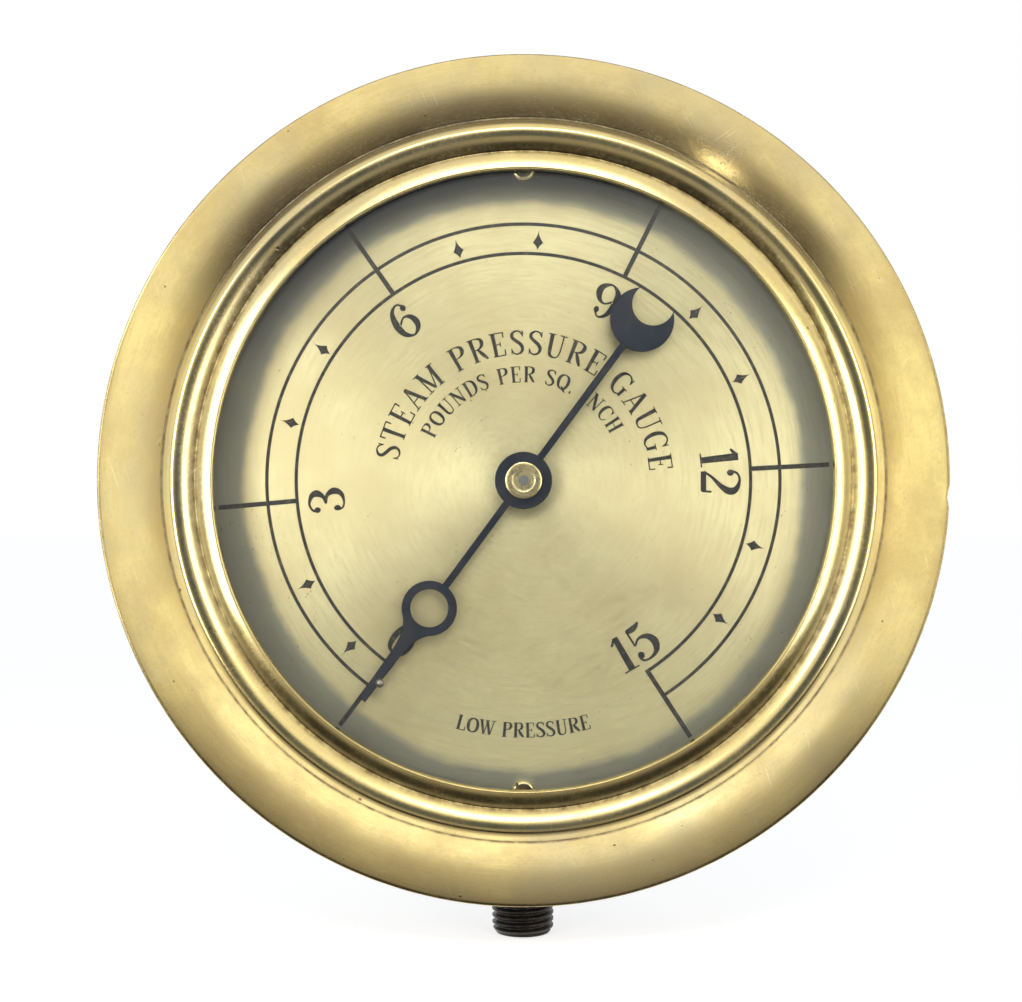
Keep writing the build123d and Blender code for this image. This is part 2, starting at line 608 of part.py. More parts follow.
def tail_screw():
    screw = slotted_screw(SCREW_RADIUS, SECTOR_FACE - TAIL_BACK, SCREW_HEAD, SCREW_HEIGHT)
    return at_place(screw, SECTOR_AXIS + polar(TAIL_CLAMP, TAIL_REST), SECTOR_FACE)


def link():
    strip = bar(0, LINK_LENGTH, LINK_WIDTH)
    strip += [Pos(distance, 0) * Circle(LINK_EYE_RADIUS) for distance in (0, LINK_LENGTH)]
    strip -= Circle(SCREW_RADIUS + RUN_PLAY)
    strip -= Pos(LINK_LENGTH, 0) * Circle(SCREW_RADIUS + RUN_PLAY + TAIL_RISE / 2)
    return at_place(slab(strip, LINK_BACK, LINK_FACE), LINK_START, 0, TAIL_BEARING + 90)


def link_screw():
    """Screw up through the link into the tail, with its head behind."""
    seat = LINK_BACK - LAYER_GAP
    screw = slotted_screw(SCREW_RADIUS, SECTOR_BACK - seat, SCREW_HEAD, SCREW_HEIGHT)
    return at_place(Rot(180, 0, 0) * screw, LINK_START, seat)


def tip_screw():
    """Screw down through the link into the tube tip's bracket."""
    seat = LINK_FACE + LAYER_GAP
    screw = slotted_screw(SCREW_RADIUS, seat - BRACKET_FACE + BRACKET_THICKNESS, SCREW_HEAD,
                          SCREW_HEIGHT)
    return at_place(screw, TIP_SCREW, seat)


# Pressure tube and socket

def oval_arc(grow, start, end):
    """Flattened oval section swept round the pointer axis between two polar angles."""
    section = SlotOverall(TUBE_WIDTH + 2 * grow, TUBE_DEPTH + 2 * grow, rotation=90)
    placed = Plane.XZ * Pos(TUBE_RADIUS, TUBE_LEVEL) * section
    return Rot(0, 0, start) * revolve(placed, Axis.Z, end - start)


def pressure_tube():
    start, end = TUBE_TIP, TUBE_ROOT + TUBE_INSERT
    return oval_arc(0, start, end) - oval_arc(-TUBE_WALL, start, end)


def tube_tip():
    """End piece that closes the tube, with the bracket for the link."""
    half = TUBE_DEPTH / 2 + TIP_WALL
    low = TUBE_LEVEL - TUBE_WIDTH / 2 - TIP_WALL
    high = TUBE_LEVEL + TUBE_WIDTH / 2 + TIP_WALL
    start, end = TUBE_TIP + TUBE_INSERT - TIP_SPAN, TUBE_TIP + TUBE_INSERT
    block = slab(ring_piece(TUBE_RADIUS - half, TUBE_RADIUS + half, start, end), low, high)
    anchor = polar(TUBE_RADIUS - half / 2, (start + TUBE_TIP) / 2)
    reach = anchor - TIP_SCREW
    turn = degrees(acos(reach.X / reach.length)) * (1 if reach.Y > 0 else -1)
    arm = bar(0, reach.length, BRACKET_WIDTH) + Circle(BRACKET_WIDTH / 2)
    arm -= Circle(SCREW_RADIUS + FIT_PLAY)
    bracket = at_place(slab(arm, BRACKET_FACE - BRACKET_THICKNESS, BRACKET_FACE), TIP_SCREW, 0,
                       turn)
    return block + bracket - oval_arc(RUN_PLAY, TUBE_TIP, end)


def stem():
    """Threaded end, undercut, wrench square and round neck of the socket."""
    thread_top = AXIS_HEIGHT - THREAD_LENGTH
    square_foot = thread_top - UNDERCUT_LENGTH
    square_top = square_foot - WRENCH_LENGTH
    thread = stem_rod(THREAD_RADIUS, AXIS_HEIGHT, thread_top)
    thread = chamfer(thread.edges().group_by(Axis.Y)[0], THREAD_CHAMFER)
    square = stem_rod(NECK_RADIUS, square_foot, square_top)
    square &= Pos(0, -square_foot, 0) * Box(WRENCH_FLATS, 2 * WRENCH_LENGTH, WRENCH_FLATS)
    neck = stem_rod(NECK_RADIUS, square_top, (BLOCK_INNER + BLOCK_OUTER) / 2)
    return thread + stem_rod(UNDERCUT_RADIUS, thread_top, square_foot) + square + neck


def stem_socket():
    """Stem, block that holds the tube's root, and arm that carries the movement."""
    block = slab(ring_piece(BLOCK_INNER, BLOCK_OUTER, TUBE_ROOT, BLOCK_END), PAD_FACE,
                 BLOCK_FRONT)
    arm_end = (ARM_OFFSET, -ARM_WIDTH / 2)
    arm = Pos(*arm_end) * Circle(ARM_WIDTH / 2)
    arm += Pos(*arm_end) * Rot(0, 0, -90) * bar(0, BLOCK_INNER - ARM_WIDTH / 4, ARM_WIDTH)
    socket = stem() + block + slab(arm, ARM_FACE - ARM_THICKNESS, ARM_FACE)
    socket -= stem_rod(INLET_RADIUS, AXIS_HEIGHT, TUBE_RADIUS - PASSAGE_RADIUS)
    socket -= oval_arc(RUN_PLAY, TUBE_ROOT, TUBE_ROOT + TUBE_INSERT)
    passage = Plane.XZ * Pos(TUBE_RADIUS, TUBE_LEVEL) * Circle(PASSAGE_RADIUS)
    socket -= Rot(0, 0, TUBE_ROOT + TUBE_INSERT) * revolve(passage, Axis.Z, 270 - TUBE_ROOT
                                                           - TUBE_INSERT)
    for place in SOCKET_SCREWS:
        socket -= rod(SOCKET_SCREW_RADIUS + FIT_PLAY, PAD_FACE, PAD_FACE + SOCKET_SCREW_DEPTH,
                      place)
    for place in MOVEMENT_SCREWS:
        socket -= rod(SCREW_RADIUS + FIT_PLAY, ARM_FACE - SCREW_DEPTH, ARM_FACE, place)
    return socket


def socket_screws():
    depth = PAD_FACE + SOCKET_SCREW_DEPTH - CASE_BACK - SOCKET_SCREW_HEIGHT
    screw = slotted_screw(SOCKET_SCREW_RADIUS, depth, SOCKET_SCREW_HEAD, SOCKET_SCREW_HEIGHT)
    return group(at_place(Rot(180, 0, turn) * screw, place, CASE_BACK + SOCKET_SCREW_HEIGHT)
                 for place, turn in zip(SOCKET_SCREWS, (35, 80)))


# Movement frame

def plate_outline():
    rims = [Pos(*place) * Circle(PLATE_MARGIN) for place in PILLARS]
    return make_hull([edge for rim in rims for edge in rim.edges()])


def movement_back_plate():
    holes = [(place, PILLAR_RIVET_RADIUS + FIT_PLAY) for place in PILLARS]
    holes += [(place, SCREW_RADIUS + RUN_PLAY) for place in MOVEMENT_SCREWS]
    holes += [(place, PIVOT_RADIUS + RUN_PLAY) for place in (Vector(0, 0), SECTOR_AXIS)]
    plate = slab(plate_outline(), ARM_FACE, BACK_PLATE_FACE)
    for place, radius in holes:
        plate -= rod(radius, ARM_FACE, BACK_PLATE_FACE, place)
    return plate


def movement_front_plate():
    holes = [(place, SCREW_RADIUS + RUN_PLAY) for place in PILLARS]
    holes += [(Vector(0, 0), ARBOR_RADIUS + RUN_PLAY), (SECTOR_AXIS, PIVOT_RADIUS + RUN_PLAY),
              (SPRING_STUD, STUD_RADIUS + FIT_PLAY)]
    plate = slab(plate_outline(), FRONT_PLATE_BACK, FRONT_PLATE_FACE)
    for place, radius in holes:
        plate -= rod(radius, FRONT_PLATE_BACK, FRONT_PLATE_FACE, place)
    return plate


def movement_pillars():
    pillar = rod(PILLAR_RADIUS, BACK_PLATE_FACE, FRONT_PLATE_BACK)
    pillar += rod(PILLAR_RIVET_RADIUS, ARM_FACE, BACK_PLATE_FACE)
    pillar -= rod(SCREW_RADIUS + FIT_PLAY, FRONT_PLATE_BACK - SCREW_DEPTH, FRONT_PLATE_BACK)
    return group(at_place(pillar, place, 0) for place in PILLARS)


def plate_screws():
    screw = slotted_screw(SCREW_RADIUS, PLATE_THICKNESS + SCREW_DEPTH, SCREW_HEAD, SCREW_HEIGHT)
    return group(at_place(screw, place, FRONT_PLATE_FACE, turn)
                 for place, turn in zip(PILLARS, (10, 75, 130)))


def movement_screws():
    screw = slotted_screw(SCREW_RADIUS, PLATE_THICKNESS + SCREW_DEPTH, SCREW_HEAD, SCREW_HEIGHT)
    return group(at_place(screw, place, BACK_PLATE_FACE, turn)
                 for place, turn in zip(MOVEMENT_SCREWS, (60, 15)))


PIECES = (case, bezel_ring, glass, glass_packing, dial, dial_screws, stop_pin,
          pointer, pointer_boss, pinion_arbor, hairspring_collet, hairspring, hairspring_stud,
          sector_gear, sector_arbor, tail_slide, tail_screw, link, link_screw, tip_screw,
          pressure_tube, tube_tip, stem_socket, socket_screws,
          movement_back_plate, movement_front_plate, movement_pillars, plate_screws,
          movement_screws)

os.makedirs("parts", exist_ok=True)
for piece in PIECES:
    export_step(UPRIGHT * piece(), f"parts/{piece.__name__}.step")
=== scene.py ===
"""Looks of the steam pressure gauge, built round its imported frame."""

from __future__ import annotations

import json
import logging
import math
from collections.abc import Callable, Iterable, Sequence
from dataclasses import dataclass
from enum import Enum

import bmesh
import bpy
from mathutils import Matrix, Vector
from mathutils.geometry import delaunay_2d_cdt

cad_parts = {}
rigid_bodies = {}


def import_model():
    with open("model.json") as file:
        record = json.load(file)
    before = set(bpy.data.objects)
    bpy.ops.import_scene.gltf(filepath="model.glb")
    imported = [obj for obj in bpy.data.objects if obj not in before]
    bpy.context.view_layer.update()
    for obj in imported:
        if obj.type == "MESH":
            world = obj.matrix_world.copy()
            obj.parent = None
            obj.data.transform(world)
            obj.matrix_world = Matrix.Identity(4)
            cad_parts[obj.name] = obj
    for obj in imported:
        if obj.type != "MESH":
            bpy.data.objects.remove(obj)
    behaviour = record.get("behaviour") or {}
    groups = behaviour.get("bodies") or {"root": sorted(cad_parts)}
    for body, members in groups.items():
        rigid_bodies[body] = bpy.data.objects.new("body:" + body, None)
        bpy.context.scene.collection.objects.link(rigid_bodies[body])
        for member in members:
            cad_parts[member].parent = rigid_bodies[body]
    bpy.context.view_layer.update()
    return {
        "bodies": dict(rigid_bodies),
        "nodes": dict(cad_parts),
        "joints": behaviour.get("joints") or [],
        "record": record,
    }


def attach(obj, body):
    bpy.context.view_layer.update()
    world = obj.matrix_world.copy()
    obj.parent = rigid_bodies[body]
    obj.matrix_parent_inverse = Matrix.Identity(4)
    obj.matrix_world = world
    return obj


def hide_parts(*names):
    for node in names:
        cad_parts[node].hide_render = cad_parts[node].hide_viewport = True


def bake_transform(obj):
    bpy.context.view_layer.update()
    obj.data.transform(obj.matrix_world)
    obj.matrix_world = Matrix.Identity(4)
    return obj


LOG = logging.getLogger("gauge")

MM = 0.001
AXIS_HEIGHT = 95.0  # pointer axis above the stem's lower end, in millimetres
AXIS_PLACE = (0.0, 0.0, AXIS_HEIGHT * MM)

Point = tuple[float, float]
Colour = tuple[float, float, float]


# Places and outlines. The dial is drawn in millimetres: x to the right, y up the dial from the
# pointer's axis, and level out of the dial towards the reader.


def stand(x: float, y: float, level: float) -> Vector:
    """Find where a point of the dial drawing is in the frame.

    Args:
        x: Distance to the right of the pointer's axis.
        y: Distance up the dial from the axis.
        level: Distance out of the dial, from the stem's axis.

    Returns:
        The place in metres.
    """
    return Vector((x * MM, -level * MM, (AXIS_HEIGHT + y) * MM))


def polar(radius: float, angle: float) -> Point:
    """Turn a radius and an angle in degrees, from the right and anticlockwise, into x and y.

    Args:
        radius: Distance from the pointer's axis.
        angle: Polar angle in degrees.

    Returns:
        The point's x and y.
    """
    return radius * math.cos(math.radians(angle)), radius * math.sin(math.radians(angle))


def circle(radius: float, count: int, at: Point = (0.0, 0.0)) -> list[Point]:
    """Draw a circle as points.

    Args:
        radius: The circle's radius.
        count: How many points.
        at: Its centre.

    Returns:
        The points, anticlockwise.
    """
    places = (polar(radius, 360 * step / count) for step in range(count))
    return [(at[0] + x, at[1] + y) for x, y in places]


def ring_band(inner: float, outer: float, start: float, end: float, step: float = 1.0) -> list[Point]:
    """Draw a flat piece of a ring.

    Args:
        inner: Its inner radius.
        outer: Its outer radius.
        start: Polar angle of one end in degrees.
        end: Polar angle of the other end.
        step: Degrees between points.

    Returns:
        The closed outline's points.
    """
    count = max(2, round(abs(end - start) / step))
    angles = [start + (end - start) * index / count for index in range(count + 1)]
    return [polar(inner, a) for a in angles] + [polar(outer, a) for a in reversed(angles)]


def turned(points: Iterable[Point], angle: float) -> list[Point]:
    """Turn points about the pointer's axis.

    Args:
        points: The points to turn.
        angle: Degrees, anticlockwise.

    Returns:
        The turned points.
    """
    c, s = math.cos(math.radians(angle)), math.sin(math.radians(angle))
    return [(x * c - y * s, x * s + y * c) for x, y in points]


def hermite(a: Point, a_way: Point, b: Point, b_way: Point, steps: int) -> list[Point]:
    """Draw a smooth run between two points, each with a heading.

    Args:
        a: First point.
        a_way: Heading at the first point, as long as the curve is to follow it.
        b: Last point.
        b_way: Heading at the last point.
        steps: How many pieces to divide it into.

    Returns:
        The points after the first, up to the last.
    """
    made = []
    for index in range(1, steps + 1):
        t = index / steps
        h00, h10 = (1 + 2 * t) * (1 - t) ** 2, t * (1 - t) ** 2
        h01, h11 = t * t * (3 - 2 * t), t * t * (t - 1)
        made.append(tuple(h00 * a[i] + h10 * a_way[i] + h01 * b[i] + h11 * b_way[i]
                          for i in range(2)))
    return made


def sagged(a: Point, b: Point, sag: float, steps: int) -> list[Point]:
    """Draw a shallow arc between two points.

    Args:
        a: First point.
        b: Last point.
        sag: Height of the arc, to the left of the way from a to b where positive.
        steps: How many pieces to divide it into.

    Returns:
        The points after the first, up to the last.
    """
    dx, dy = b[0] - a[0], b[1] - a[1]
    length = math.hypot(dx, dy)
    made = []
    for index in range(1, steps + 1):
        t = index / steps
        lift = 4 * sag * t * (1 - t) / length
        made.append((a[0] + dx * t - dy * lift, a[1] + dy * t + dx * lift))
    return made


# Meshes


def make_object(name: str, mesh: bpy.types.Mesh) -> bpy.types.Object:
    """Put a mesh into the scene.

    Args:
        name: The piece's name.
        mesh: Its mesh, already in place.

    Returns:
        The new object.
    """
    piece = bpy.data.objects.new(name, mesh)
    bpy.context.scene.collection.objects.link(piece)
    return piece


def smooth_shade(mesh: bpy.types.Mesh, sharp_from: float = 32.0) -> None:
    """Shade a mesh smooth, with edges left sharp where its faces meet at more than an angle.

    Args:
        mesh: The mesh to shade.
        sharp_from: That angle in degrees.
    """
    work = bmesh.new()
    work.from_mesh(mesh)
    limit = math.radians(sharp_from)
    for face in work.faces:
        face.smooth = True
    for edge in work.edges:
        edge.smooth = len(edge.link_faces) == 2 and edge.calc_face_angle(0.0) < limit
    work.to_mesh(mesh)
    work.free()


def closed_outwards(mesh: bpy.types.Mesh, merge: float = 1e-7) -> None:
    """Merge doubled vertices and turn every face of a closed mesh outwards.

    Args:
        mesh: The mesh to mend.
        merge: Distance in metres within which vertices are one.
    """
    work = bmesh.new()
    work.from_mesh(mesh)
    bmesh.ops.remove_doubles(work, verts=work.verts, dist=merge)
    bmesh.ops.recalc_face_normals(work, faces=work.faces)
    work.to_mesh(mesh)
    work.free()


class GeometryTree:
    """A geometry node tree, built node by node, that makes one kind of piece."""

    def __init__(self, name: str, numbers: dict[str, float | int]) -> None:
        """Start a tree with named number inputs and a material input.

        Args:
            name: The tree's name.
            numbers: Each input's name and usual value.
        """
        self.tree = bpy.data.node_groups.new(name, "GeometryNodeTree")
        face = self.tree.interface
        face.new_socket("Geometry", in_out="INPUT", socket_type="NodeSocketGeometry")
        for label, value in numbers.items():
            kind = "NodeSocketInt" if isinstance(value, int) else "NodeSocketFloat"
            face.new_socket(label, in_out="INPUT", socket_type=kind).default_value = value
        face.new_socket("Finish", in_out="INPUT", socket_type="NodeSocketMaterial")
        face.new_socket("Geometry", in_out="OUTPUT", socket_type="NodeSocketGeometry")
        self.given = self.tree.nodes.new("NodeGroupInput").outputs

    def node(self, kind: str, inputs: dict[str, object] | None = None,
             **settings: object) -> bpy.types.Node:
        """Add a node.

        Args:
            kind: The node's type name.
            inputs: Values or sockets for its inputs, by name or number.
            **settings: Properties of the node.

        Returns:
            The new node.
        """
        made = self.tree.nodes.new(kind)
        for key, value in settings.items():
            setattr(made, key, value)
        for key, value in (inputs or {}).items():
            if isinstance(value, bpy.types.NodeSocket):
                self.tree.links.new(value, made.inputs[key])
            else:
                made.inputs[key].default_value = value
        return made

    def math(self, operation: str, *values: object) -> bpy.types.NodeSocket:
        """Add a math node and give its result.

        Args:
            operation: What it works out.
            *values: Its numbers or sockets.

        Returns:
            The result's socket.
        """
        return self.node("ShaderNodeMath", dict(enumerate(values)), operation=operation).outputs[0]

    def finish(self, geometry: bpy.types.NodeSocket) -> None:
        """Realize what the tree made, give it its finish and send it out.

        Args:
            geometry: The socket with the made geometry.
        """
        real = self.node("GeometryNodeRealizeInstances", {"Geometry": geometry})
        dressed = self.node("GeometryNodeSetMaterial", {"Geometry": real.outputs[0],
                                                        "Material": self.given["Finish"]})
        self.node("NodeGroupOutput", {"Geometry": dressed.outputs[0]})

    def make(self, name: str, source: bpy.types.Mesh, finish: bpy.types.Material,
             numbers: dict[str, float | int]) -> bpy.types.Object:
        """Run the tree on a mesh and keep the result as a plain piece.

        Args:
            name: The piece's name.
            source: The mesh that the tree starts from.
            finish: The piece's material.
            numbers: Values for the tree's inputs.

        Returns:
            The finished piece.
        """
        carrier = make_object(name + "_source", source)
        modifier = carrier.modifiers.new("Make", "NODES")
        modifier.node_group = self.tree
        wanted = {**numbers, "Finish": finish}
        for item in self.tree.interface.items_tree:
            if item.item_type == "SOCKET" and item.in_out == "INPUT" and item.name in wanted:
                modifier[item.identifier] = wanted[item.name]
        graph = bpy.context.evaluated_depsgraph_get()
        mesh = bpy.data.meshes.new_from_object(carrier.evaluated_get(graph),
                                               preserve_all_data_layers=True, depsgraph=graph)
        carrier.modifiers.clear()
        bpy.data.objects.remove(carrier)
        mesh.name = name
        closed_outwards(mesh)
        smooth_shade(mesh)
        return make_object(name, mesh)


def lathe_tree() -> GeometryTree:
    """Build the tree that turns a profile about the pointer's axis.

    Returns:
        The tree. Its source is a mesh whose vertices run along the profile.
    """
    lathe = GeometryTree("turned_piece", {"Segments": 256, "Start": 0.0, "Sweep": math.tau,
                                          "Axis Height": AXIS_HEIGHT * MM})
    given = lathe.given
    count = lathe.node("GeometryNodeAttributeDomainSize", {"Geometry": given["Geometry"]})
    across = lathe.math("ADD", given["Segments"], 1)
    grid = lathe.node("GeometryNodeMeshGrid", {"Size X": 1.0, "Size Y": 1.0,
                                               "Vertices X": count.outputs["Point Count"],
                                               "Vertices Y": across})
    index = lathe.node("GeometryNodeInputIndex").outputs[0]
    row = lathe.math("FLOOR", lathe.math("DIVIDE", lathe.math("ADD", index, 0.5), across))
    column = lathe.math("SUBTRACT", index, lathe.math("MULTIPLY", row, across))
    angle = lathe.math("ADD", given["Start"],
                       lathe.math("DIVIDE", lathe.math("MULTIPLY", column, given["Sweep"]),
                                  given["Segments"]))
    profile = lathe.node("GeometryNodeSampleIndex",
                         {"Geometry": given["Geometry"],
                          "Value": lathe.node("GeometryNodeInputPosition").outputs[0],
                          "Index": row}, data_type="FLOAT_VECTOR")
    centre = lathe.node("ShaderNodeCombineXYZ", {"Z": given["Axis Height"]})
    place = lathe.node("ShaderNodeVectorRotate", {"Vector": profile.outputs[0],
                                                  "Center": centre.outputs[0], "Angle": angle},
                       rotation_type="Y_AXIS")
    placed = lathe.node("GeometryNodeSetPosition", {"Geometry": grid.outputs["Mesh"],
                                                    "Position": place.outputs[0]})
    joined = lathe.node("GeometryNodeMergeByDistance", {"Geometry": placed.outputs[0],
                                                        "Distance": 1e-7})
    lathe.finish(joined.outputs[0])
    return lathe


def profile_mesh(points: Sequence[Point]) -> bpy.types.Mesh:
    """Make a profile, given as radius and level, into the mesh that the lathe turns.

    Args:
        points: The profile's points in order, the first repeated at the end where it is closed.

    Returns:
        The mesh of its vertices.
    """
    mesh = bpy.data.meshes.new("profile")
    mesh.from_pydata([stand(radius, 0, level) for radius, level in points], [], [])
    return mesh


def thread_tree() -> GeometryTree:
    """Build the tree that cuts a screw thread on an upright rod.

    Returns:
        The tree. It makes its own grid, so its source is an empty mesh.
    """
    made = GeometryTree("threaded_rod", {"Length": 0.014, "Pitch": 0.00141, "End Radius": 0.00642,
                                         "Top Radius": 0.00686, "Depth": 0.0008, "Bore": 0.003,
                                         "Lead In": 0.0012, "Segments": 96, "Rows": 150})
    given = made.given
    across = made.math("ADD", given["Segments"], 1)
    down = made.math("ADD", given["Rows"], 3)
    grid = made.node("GeometryNodeMeshGrid", {"Size X": 1.0, "Size Y": 1.0, "Vertices X": down,
                                              "Vertices Y": across})
    index = made.node("GeometryNodeInputIndex").outputs[0]
    row = made.math("FLOOR", made.math("DIVIDE", made.math("ADD", index, 0.5), across))
    column = made.math("SUBTRACT", index, made.math("MULTIPLY", row, across))
    share = made.node("ShaderNodeMapRange", {"Value": row, "From Min": 1.0,
                                             "From Max": made.math("ADD", given["Rows"], 1)})
    along = share.outputs["Result"]
    height = made.math("MULTIPLY", along, given["Length"])
    turn = made.math("DIVIDE", column, given["Segments"])
    phase = made.math("FRACT", made.math("SUBTRACT", made.math("DIVIDE", height, given["Pitch"]),
                                         turn))
    ridge = made.math("ABSOLUTE", made.math("SUBTRACT", made.math("MULTIPLY", phase, 2.0), 1.0))
    flank = made.node("ShaderNodeMapRange", {"Value": ridge, "From Min": 0.12, "From Max": 0.85},
                      interpolation_type="SMOOTHSTEP").outputs["Result"]
    rising = made.node("ShaderNodeMapRange", {"Value": height, "To Min": given["End Radius"],
                                              "From Max": given["Length"],
                                              "To Max": given["Top Radius"]}).outputs["Result"]
    cut = made.math("MULTIPLY", made.math("SUBTRACT", 1.0, flank), given["Depth"])
    lead = made.node("ShaderNodeMapRange", {"Value": height, "From Max": given["Lead In"],
                                            "To Min": given["Depth"], "To Max": 0.0})
    radius = made.math("SUBTRACT", rising, made.math("MAXIMUM", cut, lead.outputs["Result"]))
    inner = made.math("MAXIMUM", made.math("LESS_THAN", row, 0.5),
                      made.math("GREATER_THAN", row, made.math("ADD", given["Rows"], 1.5)))
    width = made.math("ADD", made.math("MULTIPLY", radius, made.math("SUBTRACT", 1.0, inner)),
                      made.math("MULTIPLY", given["Bore"], inner))
    angle = made.math("MULTIPLY", turn, math.tau)
    place = made.node("ShaderNodeCombineXYZ", {
        "X": made.math("MULTIPLY", width, made.math("COSINE", angle)),
        "Y": made.math("MULTIPLY", width, made.math("SINE", angle)), "Z": height})
    placed = made.node("GeometryNodeSetPosition", {"Geometry": grid.outputs["Mesh"],
                                                   "Position": place.outputs[0]})
    joined = made.node("GeometryNodeMergeByDistance", {"Geometry": placed.outputs[0],
                                                       "Distance": 1e-7})
    made.finish(joined.outputs[0])
    return made


@dataclass
class Plate:
    """A piece cut from sheet: flat outlines, holes, a chamfered front edge and engraving."""

    outlines: list[list[Point]]
    holes: list[list[Point]]
    low: float
    high: float
    chamfer: float = 0.1
    engraved: Sequence[list[Point]] = ()
    depth: float = 0.13
    wall: float = 0.035

    def build(self, name: str, face: bpy.types.Material,
              fill: bpy.types.Material | None = None) -> bpy.types.Object:
        """Make the plate.

        Args:
            name: The piece's name.
            face: Its material.
            fill: The material of the engraving's floor.

        Returns:
            The finished piece.
        """
        loops = [*self.outlines, *self.holes, *self.engraved]
        first_hole = len(self.outlines)
        first_cut = first_hole + len(self.holes)
        flat, faces = [], []
        for loop in loops:
            if signed_area(loop) < 0:
                loop = loop[::-1]
            faces.append(list(range(len(flat), len(flat) + len(loop))))
            flat += [Vector(point) for point in loop]
        places, _, triangles, _, _, owners = delaunay_2d_cdt(flat, [], faces, 1, 1e-5)
        work = bmesh.new()
        rim = self.high - self.chamfer
        front = [work.verts.new(stand(x, y, rim)) for x, y in places]
        back = [work.verts.new(stand(x, y, self.low)) for x, y in places]
        borders: dict[tuple[int, int], int] = {}
        plain, cut = [], []
        for corners, inside in zip(triangles, owners):
            if (not any(i < first_hole for i in inside)
                    or any(first_hole <= i < first_cut for i in inside)):
                continue
            made = work.faces.new([front[i] for i in corners])
            (cut if any(i >= first_cut for i in inside) else plain).append(made)
            work.faces.new([back[i] for i in reversed(corners)])
            for a, b in zip(corners, corners[1:] + corners[:1]):
                borders[a, b] = 1
        for a, b in borders:
            if (b, a) not in borders:
                work.faces.new([front[b], front[a], back[a], back[b]])
        work.normal_update()
        if self.chamfer:
            bmesh.ops.inset_region(work, faces=plain + cut, thickness=self.chamfer * MM,
                                   depth=self.chamfer * MM, use_even_offset=True,
                                   use_boundary=True)
        if cut:
            bmesh.ops.inset_region(work, faces=cut, thickness=self.wall * MM,
                                   depth=-self.depth * MM, use_even_offset=True,
                                   use_boundary=True)
            for made in cut:
                made.material_index = 1
        loose = [vert for vert in work.verts if not vert.link_faces]
        bmesh.ops.delete(work, geom=loose, context="VERTS")
        mesh = bpy.data.meshes.new(name)
        work.to_mesh(mesh)
        work.free()
        mesh.materials.append(face)
        if fill:
            mesh.materials.append(fill)
        return make_object(name, mesh)


def signed_area(loop: Sequence[Point]) -> float:
    """Work out a closed outline's area.

    Args:
        loop: Its points.

    Returns:
        The area, positive where the points run anticlockwise.
    """
    return sum(a[0] * b[1] - b[0] * a[1] for a, b in zip(loop, [*loop[1:], loop[0]])) / 2


# Lettering, cut with broad and thin strokes. A letter is one unit high, and each of its strokes
# is a run of (x, y, width).

Stroke = tuple[tuple[float, float, float], ...]
STEM, THIN = 0.125, 0.045


def upright(x: float, low: float = 0.0, high: float = 1.0, width: float = STEM) -> Stroke:
    """Draw an upright stroke.

    Args:
        x: Its centre line.
        low: Its lower end.
        high: Its upper end.
        width: Its width.

    Returns:
        The stroke.
    """
    return (x, low, width), (x, high, width)


def level_bar(y: float, start: float, end: float, width: float = THIN) -> Stroke:
    """Draw a level stroke.

    Args:
        y: Its centre line.
        start: Its left end.
        end: Its right end.
        width: Its width.

    Returns:
        The stroke.
    """
    return (start, y, width), (end, y, width)


def feet(*places: Point) -> list[Stroke]:
    """Draw the short bars that end the uprights.

    Args:
        *places: The uprights' ends.

    Returns:
        One level stroke for each, just inside the letter's height.
    """
    return [level_bar(y + (0.02 if y < 0.5 else -0.02), x - 0.15, x + 0.15, 0.04)
            for x, y in places]


BOWL_P: Stroke = ((0.2, 0.975, 0.045), (0.42, 0.97, 0.05), (0.59, 0.89, 0.10), (0.62, 0.74, 0.13),
                  (0.56, 0.60, 0.10), (0.40, 0.515, 0.05), (0.2, 0.51, 0.045))
BOWL_B: Stroke = ((0.2, 0.51, 0.045), (0.44, 0.51, 0.05), (0.63, 0.42, 0.10), (0.67, 0.26, 0.13),
                  (0.61, 0.10, 0.10), (0.44, 0.03, 0.05), (0.2, 0.025, 0.045))
BOWL_D: Stroke = ((0.2, 0.975, 0.045), (0.44, 0.97, 0.05), (0.66, 0.82, 0.11), (0.73, 0.5, 0.14),
                  (0.66, 0.18, 0.11), (0.44, 0.03, 0.05), (0.2, 0.025, 0.045))
ROUND: Stroke = ((0.45, 0.985, 0.05), (0.19, 0.84, 0.11), (0.11, 0.5, 0.14), (0.19, 0.16, 0.11),
                 (0.45, 0.015, 0.05))
HOOK: Stroke = ((0.68, 0.74, 0.04), (0.60, 0.91, 0.06), (0.42, 0.985, 0.06), (0.20, 0.86, 0.11),
                (0.11, 0.5, 0.14), (0.20, 0.14, 0.11), (0.42, 0.015, 0.06), (0.60, 0.08, 0.05),
                (0.70, 0.26, 0.04))
NOUGHT: Stroke = ((0.35, 0.985, 0.04), (0.15, 0.84, 0.10), (0.09, 0.5, 0.14), (0.15, 0.16, 0.10),
                  (0.35, 0.015, 0.04))
SIX: Stroke = ((0.54, 0.83, 0.05), (0.40, 0.985, 0.05), (0.20, 0.86, 0.09), (0.10, 0.50, 0.15),
               (0.14, 0.18, 0.12), (0.34, 0.015, 0.05), (0.54, 0.12, 0.11), (0.60, 0.30, 0.14),
               (0.53, 0.50, 0.10), (0.37, 0.58, 0.05), (0.18, 0.45, 0.05))
THREE: Stroke = ((0.10, 0.78, 0.05), (0.16, 0.92, 0.05), (0.32, 0.985, 0.06), (0.51, 0.90, 0.11),
                 (0.56, 0.75, 0.14), (0.47, 0.59, 0.09), (0.28, 0.525, 0.05))
THREE_LOW: Stroke = ((0.28, 0.525, 0.05), (0.50, 0.47, 0.09), (0.61, 0.27, 0.15),
                     (0.52, 0.08, 0.11), (0.31, 0.015, 0.06), (0.13, 0.07, 0.05),
                     (0.08, 0.20, 0.05))
